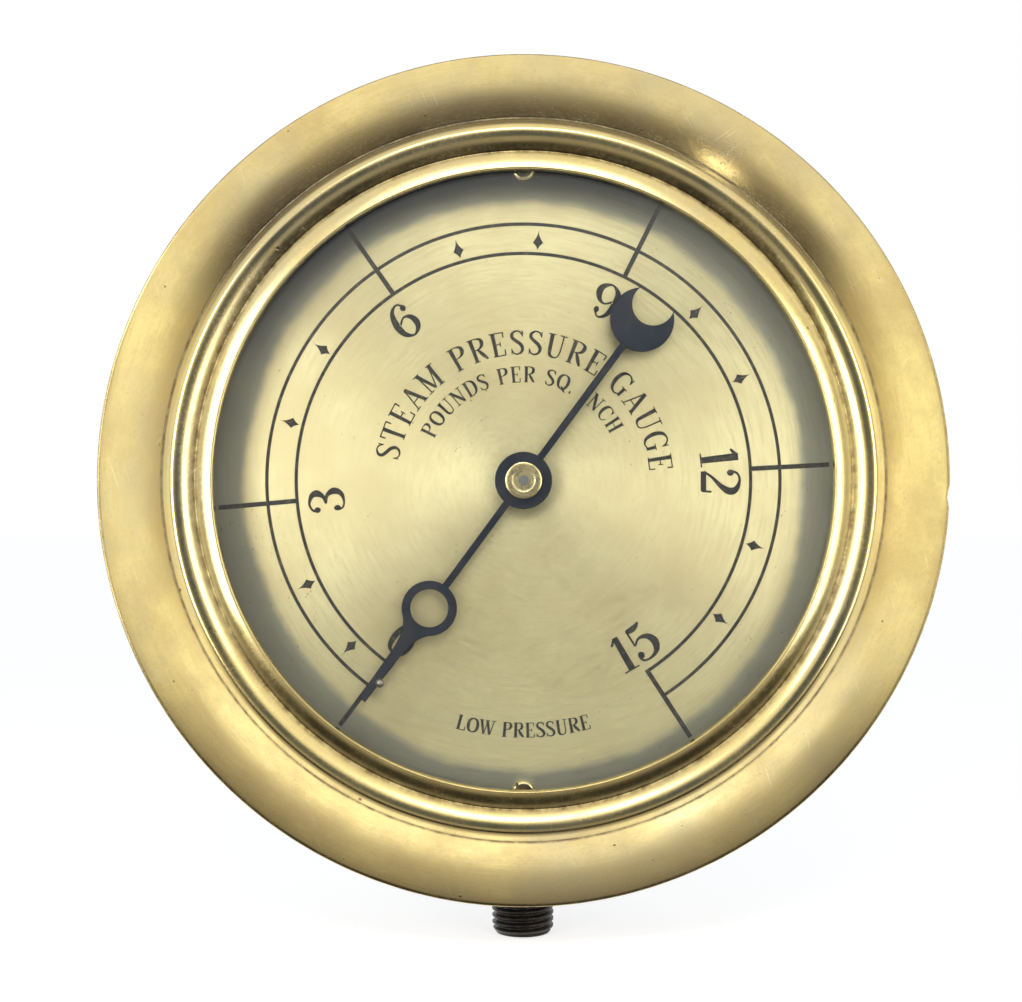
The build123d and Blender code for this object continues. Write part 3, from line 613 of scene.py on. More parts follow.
FIVE: Stroke = ((0.135, 0.50, 0.045), (0.32, 0.62, 0.06), (0.53, 0.53, 0.12), (0.60, 0.31, 0.15),
                (0.50, 0.09, 0.11), (0.30, 0.015, 0.06), (0.13, 0.06, 0.05), (0.08, 0.19, 0.05))
TWO: Stroke = ((0.10, 0.76, 0.05), (0.17, 0.93, 0.05), (0.33, 0.985, 0.06), (0.53, 0.89, 0.12),
               (0.57, 0.71, 0.14), (0.46, 0.50, 0.10), (0.24, 0.27, 0.06), (0.09, 0.06, 0.05))
ESS: Stroke = ((0.54, 0.80, 0.04), (0.46, 0.94, 0.05), (0.31, 0.985, 0.06), (0.15, 0.89, 0.09),
               (0.13, 0.73, 0.11), (0.28, 0.57, 0.12), (0.45, 0.44, 0.12), (0.55, 0.27, 0.12),
               (0.50, 0.10, 0.09), (0.33, 0.015, 0.06), (0.17, 0.06, 0.05), (0.08, 0.22, 0.04))


def both_sides(stroke: Stroke, middle: float) -> list[Stroke]:
    """Give a stroke and its mirror image.

    Args:
        stroke: The left-hand stroke.
        middle: Where the mirror stands.

    Returns:
        Both strokes.
    """
    return [stroke, tuple((2 * middle - x, y, width) for x, y, width in stroke)]


def dot(x: float, y: float, width: float) -> Stroke:
    """Draw a round dot as a very short stroke.

    Args:
        x: Its centre.
        y: Its centre's height.
        width: Its width.

    Returns:
        The stroke.
    """
    return ((x - width / 2, y, 0.3 * width), (x - width / 4, y, 0.86 * width), (x, y, width),
            (x + width / 4, y, 0.86 * width), (x + width / 2, y, 0.3 * width))


LETTERS: dict[str, tuple[float, list[Stroke]]] = {
    "A": (0.80, [((0.11, 0.02, 0.05), (0.38, 0.98, 0.05)), ((0.38, 0.98, STEM), (0.68, 0.02, STEM)),
                 level_bar(0.33, 0.2, 0.58), *feet((0.12, 0), (0.68, 0))]),
    "B": (0.78, [upright(0.2), BOWL_P, BOWL_B, *feet((0.2, 0), (0.2, 1))]),
    "C": (0.78, [HOOK, upright(0.69, 0.70, 0.98, 0.04)]),
    "D": (0.84, [upright(0.2), BOWL_D, *feet((0.2, 0), (0.2, 1))]),
    "E": (0.72, [upright(0.2), level_bar(0.978, 0.08, 0.6), level_bar(0.5, 0.2, 0.45),
                 level_bar(0.022, 0.08, 0.62), upright(0.6, 0.76, 1, 0.05),
                 upright(0.62, 0, 0.26, 0.05), upright(0.45, 0.39, 0.61, 0.04),
                 *feet((0.2, 0), (0.2, 1))]),
    "G": (0.86, [HOOK[:-1], upright(0.66, 0.03, 0.42, 0.11), level_bar(0.43, 0.5, 0.8, 0.04),
                 upright(0.69, 0.70, 0.98, 0.04)]),
    "H": (0.84, [upright(0.2), upright(0.64), level_bar(0.5, 0.2, 0.64),
                 *feet((0.2, 0), (0.2, 1), (0.64, 0), (0.64, 1))]),
    "I": (0.42, [upright(0.21), *feet((0.21, 0), (0.21, 1))]),
    "L": (0.70, [upright(0.2), level_bar(0.022, 0.08, 0.62), upright(0.62, 0, 0.28, 0.05),
                 *feet((0.2, 0), (0.2, 1))]),
    "M": (1.00, [upright(0.18, width=0.05), upright(0.80), *feet((0.16, 1), (0.18, 0), (0.80, 0)),
                 ((0.18, 0.98, STEM), (0.49, 0.05, 0.10)), ((0.49, 0.05, 0.05), (0.80, 0.97, 0.05)),
                 *feet((0.82, 1))]),
    "N": (0.88, [upright(0.18, width=0.05), upright(0.70, width=0.05),
                 ((0.17, 0.97, STEM), (0.70, 0.04, STEM)), *feet((0.16, 1), (0.18, 0), (0.70, 1))]),
    "O": (0.84, both_sides(ROUND, 0.42)),
    "P": (0.74, [upright(0.2), BOWL_P, *feet((0.2, 0), (0.2, 1))]),
    "Q": (0.84, [*both_sides(ROUND, 0.42), ((0.38, 0.22, 0.05), (0.55, 0.04, 0.11), (0.76, -0.10, 0.05))]),
    "R": (0.80, [upright(0.2), BOWL_P, ((0.38, 0.52, 0.07), (0.54, 0.26, 0.13), (0.72, 0.02, 0.08)),
                 *feet((0.2, 0), (0.2, 1))]),
    "S": (0.66, [ESS, upright(0.55, 0.74, 0.99, 0.04), upright(0.08, 0.01, 0.26, 0.04)]),
    "T": (0.74, [upright(0.36), level_bar(0.978, 0.04, 0.68), upright(0.05, 0.74, 1, 0.05),
                 upright(0.67, 0.74, 1, 0.05), *feet((0.36, 0))]),
    "U": (0.84, [upright(0.2, 0.28), upright(0.66, 0.28, 1, 0.05), *feet((0.2, 1), (0.66, 1)),
                 ((0.2, 0.34, STEM), (0.23, 0.11, 0.11), (0.42, 0.015, 0.06), (0.6, 0.09, 0.05),
                  (0.66, 0.34, 0.05))]),
    "W": (1.08, [((0.10, 0.98, STEM), (0.34, 0.03, 0.10)), ((0.34, 0.03, 0.05), (0.54, 0.95, 0.05)),
                 ((0.50, 0.95, STEM), (0.74, 0.03, 0.10)), ((0.74, 0.03, 0.05), (0.98, 0.98, 0.05)),
                 *feet((0.10, 1), (0.52, 1), (0.96, 1))]),
    ".": (0.30, [dot(0.12, 0.07, 0.14)]),
    " ": (0.42, []),
    "0": (0.66, both_sides(NOUGHT, 0.33)),
    "1": (0.46, [upright(0.25, 0, 0.985, 0.135), ((0.06, 0.80, 0.05), (0.23, 0.96, 0.08)),
                 level_bar(0.018, 0.06, 0.44, 0.036)]),
    "2": (0.70, [TWO, dot(0.145, 0.75, 0.15), level_bar(0.06, 0.08, 0.62, 0.12),
                 upright(0.615, 0.02, 0.27, 0.045)]),
    "3": (0.70, [THREE, THREE_LOW, dot(0.145, 0.78, 0.15), dot(0.135, 0.22, 0.16)]),
    "5": (0.68, [FIVE, dot(0.14, 0.21, 0.16), ((0.15, 0.97, 0.045), (0.135, 0.5, 0.045)),
                 ((0.14, 0.93, 0.11), (0.36, 0.915, 0.13), (0.56, 0.98, 0.05))]),
    "6": (0.70, [SIX, dot(0.50, 0.81, 0.15)]),
}
LETTERS["9"] = (0.70, [tuple((0.69 - x, 1 - y, w) for x, y, w in stroke)
                       for stroke in LETTERS["6"][1]])


def ribbon(stroke: Stroke, steps: int = 5) -> list[Point]:
    """Draw a stroke's outline, smooth where it has more than two points.

    Args:
        stroke: The stroke.
        steps: Pieces between two of its points.

    Returns:
        The closed outline's points.
    """
    line = [Vector(point) for point in stroke]
    if len(line) > 2:
        ends = [line[0] * 2 - line[1], *line, line[-1] * 2 - line[-2]]
        smooth = [line[0]]
        for a, b, c, d in zip(ends, ends[1:], ends[2:], ends[3:]):
            for index in range(1, steps + 1):
                t = index / steps
                smooth.append(0.5 * (2 * b + (c - a) * t + (2 * a - 5 * b + 4 * c - d) * t ** 2
                                     + (3 * b - a - 3 * c + d) * t ** 3))
        line = smooth
    left, right = [], []
    for index, point in enumerate(line):
        way = line[min(index + 1, len(line) - 1)] - line[max(index - 1, 0)]
        side = Vector((-way.y, way.x)).normalized() * point.z / 2
        left.append((point.x + side.x, point.y + side.y))
        right.append((point.x - side.x, point.y - side.y))
    return left + right[::-1]


@dataclass(frozen=True)
class Caption:
    """Words or a number on the dial, on an arc round the pointer's axis."""

    words: str
    radius: float
    bearing: float
    height: float
    span: float = 0.0
    inward: bool = False
    broad: float = 1.0
    weight: float = 1.0

    def outlines(self) -> list[list[Point]]:
        """Draw the words.

        Returns:
            Outlines of all strokes, on the dial.
        """
        way = -1 if self.inward else 1
        widths = [LETTERS[letter][0] * self.height * self.broad for letter in self.words]
        free = math.radians(self.span) * self.radius - sum(widths)
        gap = free / (len(self.words) - 1) if self.span else 0.0
        start = -(sum(widths) + gap * (len(self.words) - 1)) / 2
        made = []
        for letter, width in zip(self.words, widths):
            for stroke in LETTERS[letter][1]:
                stroke = tuple((x, y, thick * self.weight) for x, y, thick in stroke)
                made.append([self.bend(start + x * self.height * self.broad, y, way)
                             for x, y in ribbon(stroke)])
            start += width + gap
        return made

    def bend(self, along: float, y: float, way: int) -> Point:
        """Put a point of the words on its arc.

        Args:
            along: Distance from the middle of the words, in millimetres.
            y: Height in the letter, from 0 to 1.
            way: 1 where the letters' tops face outwards, -1 where they face the axis.

        Returns:
            The point on the dial.
        """
        bearing = self.bearing + way * math.degrees(along / self.radius)
        return polar(self.radius + way * (y - 0.5) * self.height, 90 - bearing)



# Materials


class Shading:
    """One material's nodes, with short calls for the ones that the finishes share."""

    def __init__(self, name: str) -> None:
        """Start a material with one Principled shader.

        Args:
            name: The material's name.
        """
        self.material = bpy.data.materials.new(name)
        self.material.use_nodes = True
        self.tree = self.material.node_tree
        self.shader = self.tree.nodes["Principled BSDF"]
        self.place = self.node("ShaderNodeTexCoord").outputs["Object"]

    def node(self, kind: str, inputs: dict[object, object] | None = None,
             **settings: object) -> bpy.types.Node:
        """Add a node.

        Args:
            kind: The node's type name.
            inputs: Values or sockets for its inputs, by name or number.
            **settings: Properties of the node.

        Returns:
            The new node.
        """
        made = self.tree.nodes.new(kind)
        for key, value in settings.items():
            setattr(made, key, value)
        for key, value in (inputs or {}).items():
            self.put(made.inputs[key], value)
        return made

    def put(self, socket: bpy.types.NodeSocket, value: object) -> None:
        """Link or set one input.

        Args:
            socket: The input.
            value: A socket to link, or a value to set.
        """
        if isinstance(value, bpy.types.NodeSocket):
            self.tree.links.new(value, socket)
        elif socket.type == "RGBA":
            socket.default_value = (*value, 1.0)
        else:
            socket.default_value = value

    def math(self, operation: str, *values: object, clamp: bool = False) -> bpy.types.NodeSocket:
        """Add a math node and give its result.

        Args:
            operation: What it works out.
            *values: Its numbers or sockets.
            clamp: Whether the result is kept from 0 to 1.

        Returns:
            The result's socket.
        """
        made = self.node("ShaderNodeMath", dict(enumerate(values)), operation=operation,
                         use_clamp=clamp)
        return made.outputs[0]

    def vector(self, operation: str, *values: object) -> bpy.types.NodeSocket:
        """Add a vector math node and give its vector.

        Args:
            operation: What it works out.
            *values: Its vectors or sockets.

        Returns:
            The result's socket.
        """
        made = self.node("ShaderNodeVectorMath", dict(enumerate(values)), operation=operation)
        return made.outputs[0]

    def stretched(self, scale: Sequence[float], vector: object = None,
                  turn: Sequence[float] = (0, 0, 0)) -> bpy.types.NodeSocket:
        """Scale and turn the coordinates, so that a pattern runs along one way.

        Args:
            scale: Scale along x, y and z.
            vector: The coordinates, or None for the piece's own.
            turn: Turns about x, y and z in degrees.

        Returns:
            The new coordinates' socket.
        """
        turned_to = self.node("ShaderNodeMapping", {"Vector": vector or self.place,
                                                    "Rotation": [math.radians(t) for t in turn]})
        return self.vector("MULTIPLY", turned_to.outputs[0], scale)

    def about_axis(self) -> tuple[bpy.types.NodeSocket, bpy.types.NodeSocket]:
        """Work out the distance from the pointer's axis and the way out from it.

        Returns:
            The distance in millimetres, and the unit vector.
        """
        out = self.vector("SUBTRACT", self.place, AXIS_PLACE)
        flat = self.vector("MULTIPLY", out, (1, 0, 1))
        length = self.node("ShaderNodeVectorMath", {0: flat}, operation="LENGTH").outputs["Value"]
        return self.math("DIVIDE", length, MM), self.vector("NORMALIZE", flat)

    def round_grain(self, across: float, along: float) -> bpy.types.NodeSocket:
        """Make coordinates whose patterns run in circles about the pointer's axis.

        Args:
            across: Repeats per millimetre of radius.
            along: Repeats round the circle.

        Returns:
            The coordinates' socket.
        """
        radius, way = self.about_axis()
        lines = self.node("ShaderNodeCombineXYZ", {"Y": self.math("MULTIPLY", radius, across)})
        return self.vector("ADD", self.vector("SCALE", way) if along == 1 else
                           self.vector("MULTIPLY", way, (along, 0, along)), lines.outputs[0])

    def noise(self, scale: float, detail: float = 3.0, rough: float = 0.5,
              vector: object = None) -> bpy.types.NodeSocket:
        """Add a noise texture.

        Args:
            scale: Its scale, per metre on the piece's own coordinates.
            detail: Layers of finer noise.
            rough: Strength of the finer layers.
            vector: The coordinates, or None for the piece's own.

        Returns:
            The noise's socket, from 0 to 1.
        """
        made = self.node("ShaderNodeTexNoise", {"Vector": vector or self.place, "Scale": scale,
                                                "Detail": detail, "Roughness": rough})
        return made.outputs["Fac"]

    def spots(self, scale: float, size: float, soft: float = 0.05) -> bpy.types.NodeSocket:
        """Make scattered round spots.

        Args:
            scale: Spots per metre.
            size: Their size as a share of their spacing.
            soft: Width of their edge as such a share.

        Returns:
            A socket that is 1 in the spots and 0 between them.
        """
        cells = self.node("ShaderNodeTexVoronoi", {"Vector": self.place, "Scale": scale})
        grown = self.noise(scale * 0.35, 1.0)
        limit = self.math("MULTIPLY", self.step(grown, 0.52, 0.75), size)
        return self.step(self.math("SUBTRACT", limit, cells.outputs["Distance"]), 0.0, soft)

    def step(self, value: object, low: float, high: float, out_low: float = 0.0,
             out_high: float = 1.0) -> bpy.types.NodeSocket:
        """Map a value from one range smoothly to another and clamp it.

        Args:
            value: The value's socket.
            low: Where the result starts to change.
            high: Where it stops.
            out_low: The result at low.
            out_high: The result at high.

        Returns:
            The result's socket.
        """
        made = self.node("ShaderNodeMapRange", {"Value": value, "From Min": low, "From Max": high,
                                                "To Min": out_low, "To Max": out_high},
                         interpolation_type="SMOOTHSTEP")
        return made.outputs["Result"]

    def band(self, value: object, centre: float, width: float) -> bpy.types.NodeSocket:
        """Make a soft band round one value.

        Args:
            value: The value's socket.
            centre: Where the band is strongest.
            width: How far it reaches to each side.

        Returns:
            A socket that is 1 at the centre and 0 outside the band.
        """
        away = self.math("ABSOLUTE", self.math("SUBTRACT", value, centre))
        return self.step(away, 0.0, width, 1.0, 0.0)

    def blend(self, share: object, first: object, second: object,
              how: str = "MIX") -> bpy.types.NodeSocket:
        """Mix two colours.

        Args:
            share: How much of the second.
            first: The first colour.
            second: The second colour.
            how: The mix node's blend type.

        Returns:
            The colour's socket.
        """
        made = self.node("ShaderNodeMix", data_type="RGBA", blend_type=how)
        for key, value in ((0, share), (6, first), (7, second)):
            self.put(made.inputs[key], value)
        return made.outputs[2]

    def bump(self, height: object, depth: float, normal: object = None,
             strength: float = 1.0) -> bpy.types.NodeSocket:
        """Raise the surface by a pattern.

        Args:
            height: The pattern's socket.
            depth: Height in metres of a pattern of 1.
            normal: An earlier bump to add to.
            strength: Share of the effect.

        Returns:
            The normal's socket.
        """
        inputs = {"Height": height, "Distance": depth, "Strength": strength}
        if normal is not None:
            inputs["Normal"] = normal
        return self.node("ShaderNodeBump", inputs).outputs[0]

    def set(self, **inputs: object) -> bpy.types.Material:
        """Set or link the shader's inputs and give the material.

        Args:
            **inputs: Values or sockets by the input's name, with _ for its spaces.

        Returns:
            The finished material.
        """
        for key, value in inputs.items():
            self.put(self.shader.inputs[key.replace("_", " ")], value)
        return self.material


@dataclass(frozen=True)
class RingBrass:
    """Old turned brass of the ring: cloudy, finely scratched, brown with grime in its groove and where the
    large bead meets the sweep, and a painted dark reflection along its outer edge.
    """

    name: str = "ring_brass"
    clean: Colour = (0.79, 0.66, 0.30)
    aged: Colour = (0.60, 0.48, 0.22)
    dull: Colour = (0.52, 0.46, 0.29)
    brown: Colour = (0.12, 0.075, 0.03)
    rubbed: Colour = (0.93, 0.85, 0.60)
    # Radius and half-width of each brown band; the last, on the rim's rounded outer edge, is a painted
    # dark reflection.
    groove_grime_and_painted_edge: tuple[tuple[float, float], ...] = ((64.5, 1.1), (70.9, 0.7), (85.8, 0.6))
    roughness: float = 0.18

    def build(self) -> bpy.types.Material:
        """Build the material.

        Returns:
            The finished material.
        """
        s = Shading(self.name)
        radius, _ = s.about_axis()
        clouds = s.noise(42, 6, 0.68)
        smears = s.noise(1, 4, 0.65, s.round_grain(0.35, 5.0))
        turning = s.noise(1, 3, 0.7, s.round_grain(1.9, 9.0))
        grit = s.noise(1400, 3, 0.6)
        colour = s.blend(s.step(clouds, 0.35, 0.68), self.clean, self.aged)
        colour = s.blend(s.step(s.noise(14, 4, 0.6), 0.46, 0.68, 0.0, 0.8), colour, self.dull)
        colour = s.blend(s.step(smears, 0.5, 0.72, 0.0, 0.5), colour, self.aged)
        colour = s.blend(s.step(turning, 0.45, 0.8, 0.0, 0.45), colour, self.aged)
        colour = s.blend(s.step(grit, 0.5, 0.8, 0.0, 0.4), colour, self.dull)
        # Brown bands: grime in the groove and where the large bead meets the sweep, and a painted dark
        # reflection on the rim's rounded outer edge.
        band_patchiness = s.noise(420, 4, 0.65)
        for groove, width in self.groove_grime_and_painted_edge:
            share = s.math("MULTIPLY", s.band(radius, groove, width),
                           s.step(band_patchiness, 0.3, 0.7, 0.3, 0.9))
            colour = s.blend(share, colour, self.brown)
        spots = s.spots(330, 0.15)
        colour = s.blend(s.math("MULTIPLY", spots, 0.75), colour, self.brown)
        fine = s.noise(1, 2, 0.6, s.stretched((70, 70, 2400), turn=(0, 38, 0)))
        cross = s.noise(1, 2, 0.6, s.stretched((2200, 70, 70), turn=(0, 20, 0)))
        scratches = s.math("MULTIPLY", s.step(s.math("MAXIMUM", fine, cross), 0.66, 0.74),
                           s.step(s.noise(110, 3), 0.5, 0.6))
        colour = s.blend(s.math("MULTIPLY", scratches, 0.35), colour, self.rubbed)
        rough = s.step(clouds, 0.3, 0.75, self.roughness - 0.04, self.roughness + 0.10)
        rough = s.math("ADD", rough, s.step(grit, 0.4, 0.8, 0.0, 0.07))
        normal = s.bump(s.noise(1, 2, 0.6, s.round_grain(4.0, 4.0)), 3e-6)
        normal = s.bump(turning, 5e-6, normal)
        normal = s.bump(grit, 1.5e-6, normal)
        normal = s.bump(s.noise(26, 2), 1.2e-4, normal)
        normal = s.bump(spots, -1.5e-5, normal)
        return s.set(Base_Color=colour, Metallic=1.0, Roughness=rough, Normal=normal)


@dataclass(frozen=True)
class DialBrass:
    """Satin brass of the dial, with fine turned grain, smears and small pits, and painted shade round its
    edge under the ring's lip.
    """

    name: str = "dial_brass"
    clean: Colour = (0.87, 0.79, 0.47)
    aged: Colour = (0.70, 0.60, 0.34)
    pit: Colour = (0.10, 0.09, 0.07)
    # rim and rim_shade are painted shade: a blue-grey band where the ring's lip shades the dial's edge,
    # and a near-black painted shadow just under the lip.
    rim: Colour = (0.19, 0.23, 0.27)
    rim_shade: Colour = (0.03, 0.045, 0.07)
    rim_lower: float = 2.6
    rim_radii: Point = (55.0, 57.2)
    shade_radii: Point = (56.5, 62.0)
    shade_way: tuple[float, float, float] = (-0.3, 0.0, 0.95)
    roughness: float = 0.44
    anisotropy: float = 0.7

    def build(self) -> bpy.types.Material:
        """Build the material.

        Returns:
            The finished material.
        """
        s = Shading(self.name)
        radius, way = s.about_axis()
        clouds = s.noise(30, 4, 0.6)
        colour = s.blend(s.step(clouds, 0.35, 0.7), self.clean, self.aged)
        grain = s.noise(1, 4, 0.75, s.round_grain(1.1, 6.0))
        colour = s.blend(s.step(grain, 0.4, 0.7, 0, 0.6), colour, self.aged)
        dashes = s.step(s.noise(1, 2, 0.6, s.round_grain(3.2, 60.0)), 0.66, 0.74)
        worn = s.math("MULTIPLY", s.step(radius, 40, 56), s.step(s.noise(18, 2), 0.5, 0.62))
        marks = s.math("MULTIPLY", dashes, worn)
        colour = s.blend(s.math("MULTIPLY", marks, 0.8), colour, self.pit)
        # Painted shade: a blue-grey band round the edge, reaching less far in at the bottom, then a
        # near-black painted shadow under the lip, faint all round and strongest at the top.
        facing = s.node("ShaderNodeVectorMath", {0: way, 1: self.shade_way},
                        operation="DOT_PRODUCT").outputs["Value"]
        ragged = s.math("ADD", radius, s.step(s.noise(60, 3, 0.6), 0.2, 0.8, -0.8, 0.8))
        ragged = s.math("SUBTRACT", ragged, s.step(facing, -0.95, -0.3, self.rim_lower, 0.0))
        colour = s.blend(s.step(ragged, *self.rim_radii, 0.0, 0.55), colour, self.rim)
        shaded = s.math("MULTIPLY", s.step(radius, *self.shade_radii),
                        s.step(facing, 0.55, 0.95, 0.12, 0.9))
        colour = s.blend(shaded, colour, self.rim_shade)
        specks = s.spots(900, 0.16, 0.04)
        colour = s.blend(s.math("MULTIPLY", specks, 0.6), colour, self.pit)
        rough = s.step(grain, 0.2, 0.8, self.roughness - 0.06, self.roughness + 0.08)
        normal = s.bump(grain, 8e-6)
        normal = s.bump(marks, -1e-5, normal)
        return s.set(Base_Color=colour, Metallic=1.0, Roughness=rough, Normal=normal,
                     Anisotropic=self.anisotropy, Tangent=way)


@dataclass(frozen=True)
class PlainMetal:
    """Machined or rolled metal with fine scratches and stains."""

    name: str
    clean: Colour
    stained: Colour
    roughness: float = 0.3
    metallic: float = 1.0
    grain: float = 4e-6
    stain_share: float = 0.6
    lumps: float = 0.0

    def build(self) -> bpy.types.Material:
        """Build the material.

        Returns:
            The finished material.
        """
        s = Shading(self.name)
        clouds = s.noise(160, 5, 0.65)
        colour = s.blend(s.step(clouds, 0.4, 0.72, 0.0, self.stain_share), self.clean, self.stained)
        colour = s.blend(s.math("MULTIPLY", s.spots(700, 0.2), 0.5), colour, self.stained)
        scratches = s.noise(1, 3, 0.6, s.stretched((150, 3000, 900), turn=(0, 30, 0)))
        rough = s.math("ADD", s.step(clouds, 0.3, 0.7, self.roughness - 0.06, self.roughness + 0.1),
                       s.step(scratches, 0.5, 0.8, 0.0, 0.06))
        normal = s.bump(scratches, self.grain)
        if self.lumps:
            normal = s.bump(s.noise(900, 4, 0.65), self.lumps, normal)
        return s.set(Base_Color=colour, Metallic=self.metallic, Roughness=rough, Normal=normal)


@dataclass(frozen=True)
class CastEnamel:
    """Black enamel on a cast surface, slightly lumpy and rubbed through in places."""

    name: str = "case_enamel"
    paint: Colour = (0.018, 0.018, 0.020)
    dust: Colour = (0.07, 0.065, 0.06)
    iron: Colour = (0.16, 0.12, 0.09)

    def build(self) -> bpy.types.Material:
        """Build the material.

        Returns:
            The finished material.
        """
        s = Shading(self.name)
        cast = s.noise(520, 4, 0.6)
        clouds = s.noise(45, 5, 0.6)
        chips = s.step(s.noise(260, 5, 0.7), 0.70, 0.73)
        colour = s.blend(s.step(clouds, 0.45, 0.75, 0.0, 0.6), self.paint, self.dust)
        colour = s.blend(chips, colour, self.iron)
        rough = s.math("ADD", s.step(clouds, 0.35, 0.7, 0.28, 0.5), s.math("MULTIPLY", chips, 0.3))
        normal = s.bump(cast, 1.1e-4)
        normal = s.bump(chips, -6e-5, normal)
        return s.set(Base_Color=colour, Roughness=rough, Normal=normal, Coat_Weight=0.25,
                     Coat_Roughness=0.2)


@dataclass(frozen=True)
class EngravingInk:
    """Dull black filling of the engraved lines, with some brass dust."""

    name: str = "engraving_ink"
    black: Colour = (0.020, 0.018, 0.016)
    rubbed: Colour = (0.12, 0.10, 0.06)

    def build(self) -> bpy.types.Material:
        """Build the material.

        Returns:
            The finished material.
        """
        s = Shading(self.name)
        wear = s.noise(900, 4, 0.7)
        colour = s.blend(s.step(wear, 0.45, 0.75), self.black, self.rubbed)
        return s.set(Base_Color=colour, Roughness=s.step(wear, 0.3, 0.7, 0.55, 0.8),
                     Normal=s.bump(wear, 2e-5))


@dataclass(frozen=True)
class FibrePacking:
    """Pressed red-brown fibre of the ring under the glass."""

    name: str = "fibre_packing"
    dark: Colour = (0.09, 0.035, 0.02)
    light: Colour = (0.2, 0.09, 0.05)

    def build(self) -> bpy.types.Material:
        """Build the material.

        Returns:
            The finished material.
        """
        s = Shading(self.name)
        fibres = s.noise(1, 4, 0.7, s.stretched((2500, 900, 700), turn=(0, 25, 0)))
        colour = s.blend(fibres, self.dark, self.light)
        return s.set(Base_Color=colour, Roughness=0.85, Normal=s.bump(fibres, 6e-5))


@dataclass(frozen=True)
class ClearGlass:
    """Flat clear glass with faint smears, which lets the lamps reach the dial."""

    name: str = "clear_glass"
    index: float = 1.5

    def build(self) -> bpy.types.Material:
        """Build the material.

        Returns:
            The finished material.
        """
        s = Shading(self.name)
        smears = s.noise(60, 4, 0.65)
        lines = s.noise(1, 2, 0.6, s.stretched((60, 60, 2200), turn=(0, 50, 0)))
        rough = s.math("ADD", s.step(smears, 0.5, 0.8, 0.0, 0.03), s.step(lines, 0.66, 0.72, 0.0, 0.05))
        s.set(Base_Color=(0.93, 0.95, 0.95), Transmission_Weight=1.0, IOR=self.index,
              Roughness=rough)
        clear = s.node("ShaderNodeBsdfTransparent", {"Color": (0.93, 0.95, 0.95)})
        shadow = s.node("ShaderNodeLightPath").outputs["Is Shadow Ray"]
        mixed = s.node("ShaderNodeMixShader", {0: shadow, 1: s.shader.outputs[0],
                                               2: clear.outputs[0]})
        end = s.tree.nodes["Material Output"]
        s.tree.links.new(mixed.outputs[0], end.inputs["Surface"])
        return s.material


class Finish(Enum):
    """The finishes of the gauge, each with what builds it."""

    RING_BRASS = RingBrass()
    DIAL_BRASS = DialBrass()
    INK = EngravingInk()
    ENAMEL = CastEnamel()
    PACKING = FibrePacking()
    GLASS = ClearGlass()
    BLUED_STEEL = PlainMetal("blued_steel", (0.036, 0.042, 0.058), (0.055, 0.048, 0.045), 0.34,
                             metallic=0.7)
    BRASS = PlainMetal("machined_brass", (0.82, 0.70, 0.40), (0.46, 0.36, 0.17), 0.26,
                       stain_share=0.4)
    STEEL = PlainMetal("bright_steel", (0.50, 0.49, 0.47), (0.20, 0.17, 0.14), 0.28)
    TUBE_BRASS = PlainMetal("tube_brass", (0.74, 0.52, 0.25), (0.34, 0.20, 0.10), 0.34)
    SPRING_BRONZE = PlainMetal("spring_bronze", (0.72, 0.46, 0.22), (0.30, 0.18, 0.09), 0.24)
    BLACKENED = PlainMetal("blackened_brass", (0.022, 0.021, 0.021), (0.10, 0.075, 0.045), 0.36,
                           metallic=0.5, stain_share=0.35, lumps=1.6e-4)


class Workshop:
    """Keeps each finish's material and the shared geometry trees, made when first asked for."""

    def __init__(self, frame: dict) -> None:
        """Remember the frame.
        """
        self.frame = frame
        self.materials: dict[Finish, bpy.types.Material] = {}
        self.trees: dict[Callable[[], GeometryTree], GeometryTree] = {}

    def finish(self, which: Finish) -> bpy.types.Material:
        """Give a finish's material.

        Args:
            which: The finish.

        Returns:
            Its material.
        """
        if which not in self.materials:
            self.materials[which] = which.value.build()
        return self.materials[which]

    def tree(self, build: Callable[[], GeometryTree]) -> GeometryTree:
        """Give a shared geometry tree.

        Args:
            build: The function that builds it.

        Returns:
            The tree.
        """
        if build not in self.trees:
            self.trees[build] = build()
        return self.trees[build]

    def dress(self, node: str, which: Finish) -> None:
        """Give a CAD node a finish.

        Args:
            node: The node's name.
            which: The finish.
        """
        piece = self.frame["nodes"][node]
        piece.data.materials.clear()
        piece.data.materials.append(self.finish(which))
        LOG.info("dressed %s with %s", node, which.name)

    def place(self, piece: bpy.types.Object, body: str, slot: str, *nodes: str) -> None:
        """Let a piece stand for CAD nodes and ride on their body.

        Args:
            piece: The piece.
            body: The CAD body it moves with.
            slot: The record's material slot; not used.
            *nodes: The CAD nodes that it stands for.
        """
        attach(piece, body)
        if nodes:
            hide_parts(*nodes)
        LOG.info("made %s on %s, %d faces", piece.name, body, len(piece.data.polygons))


# The gauge's sub-assemblies


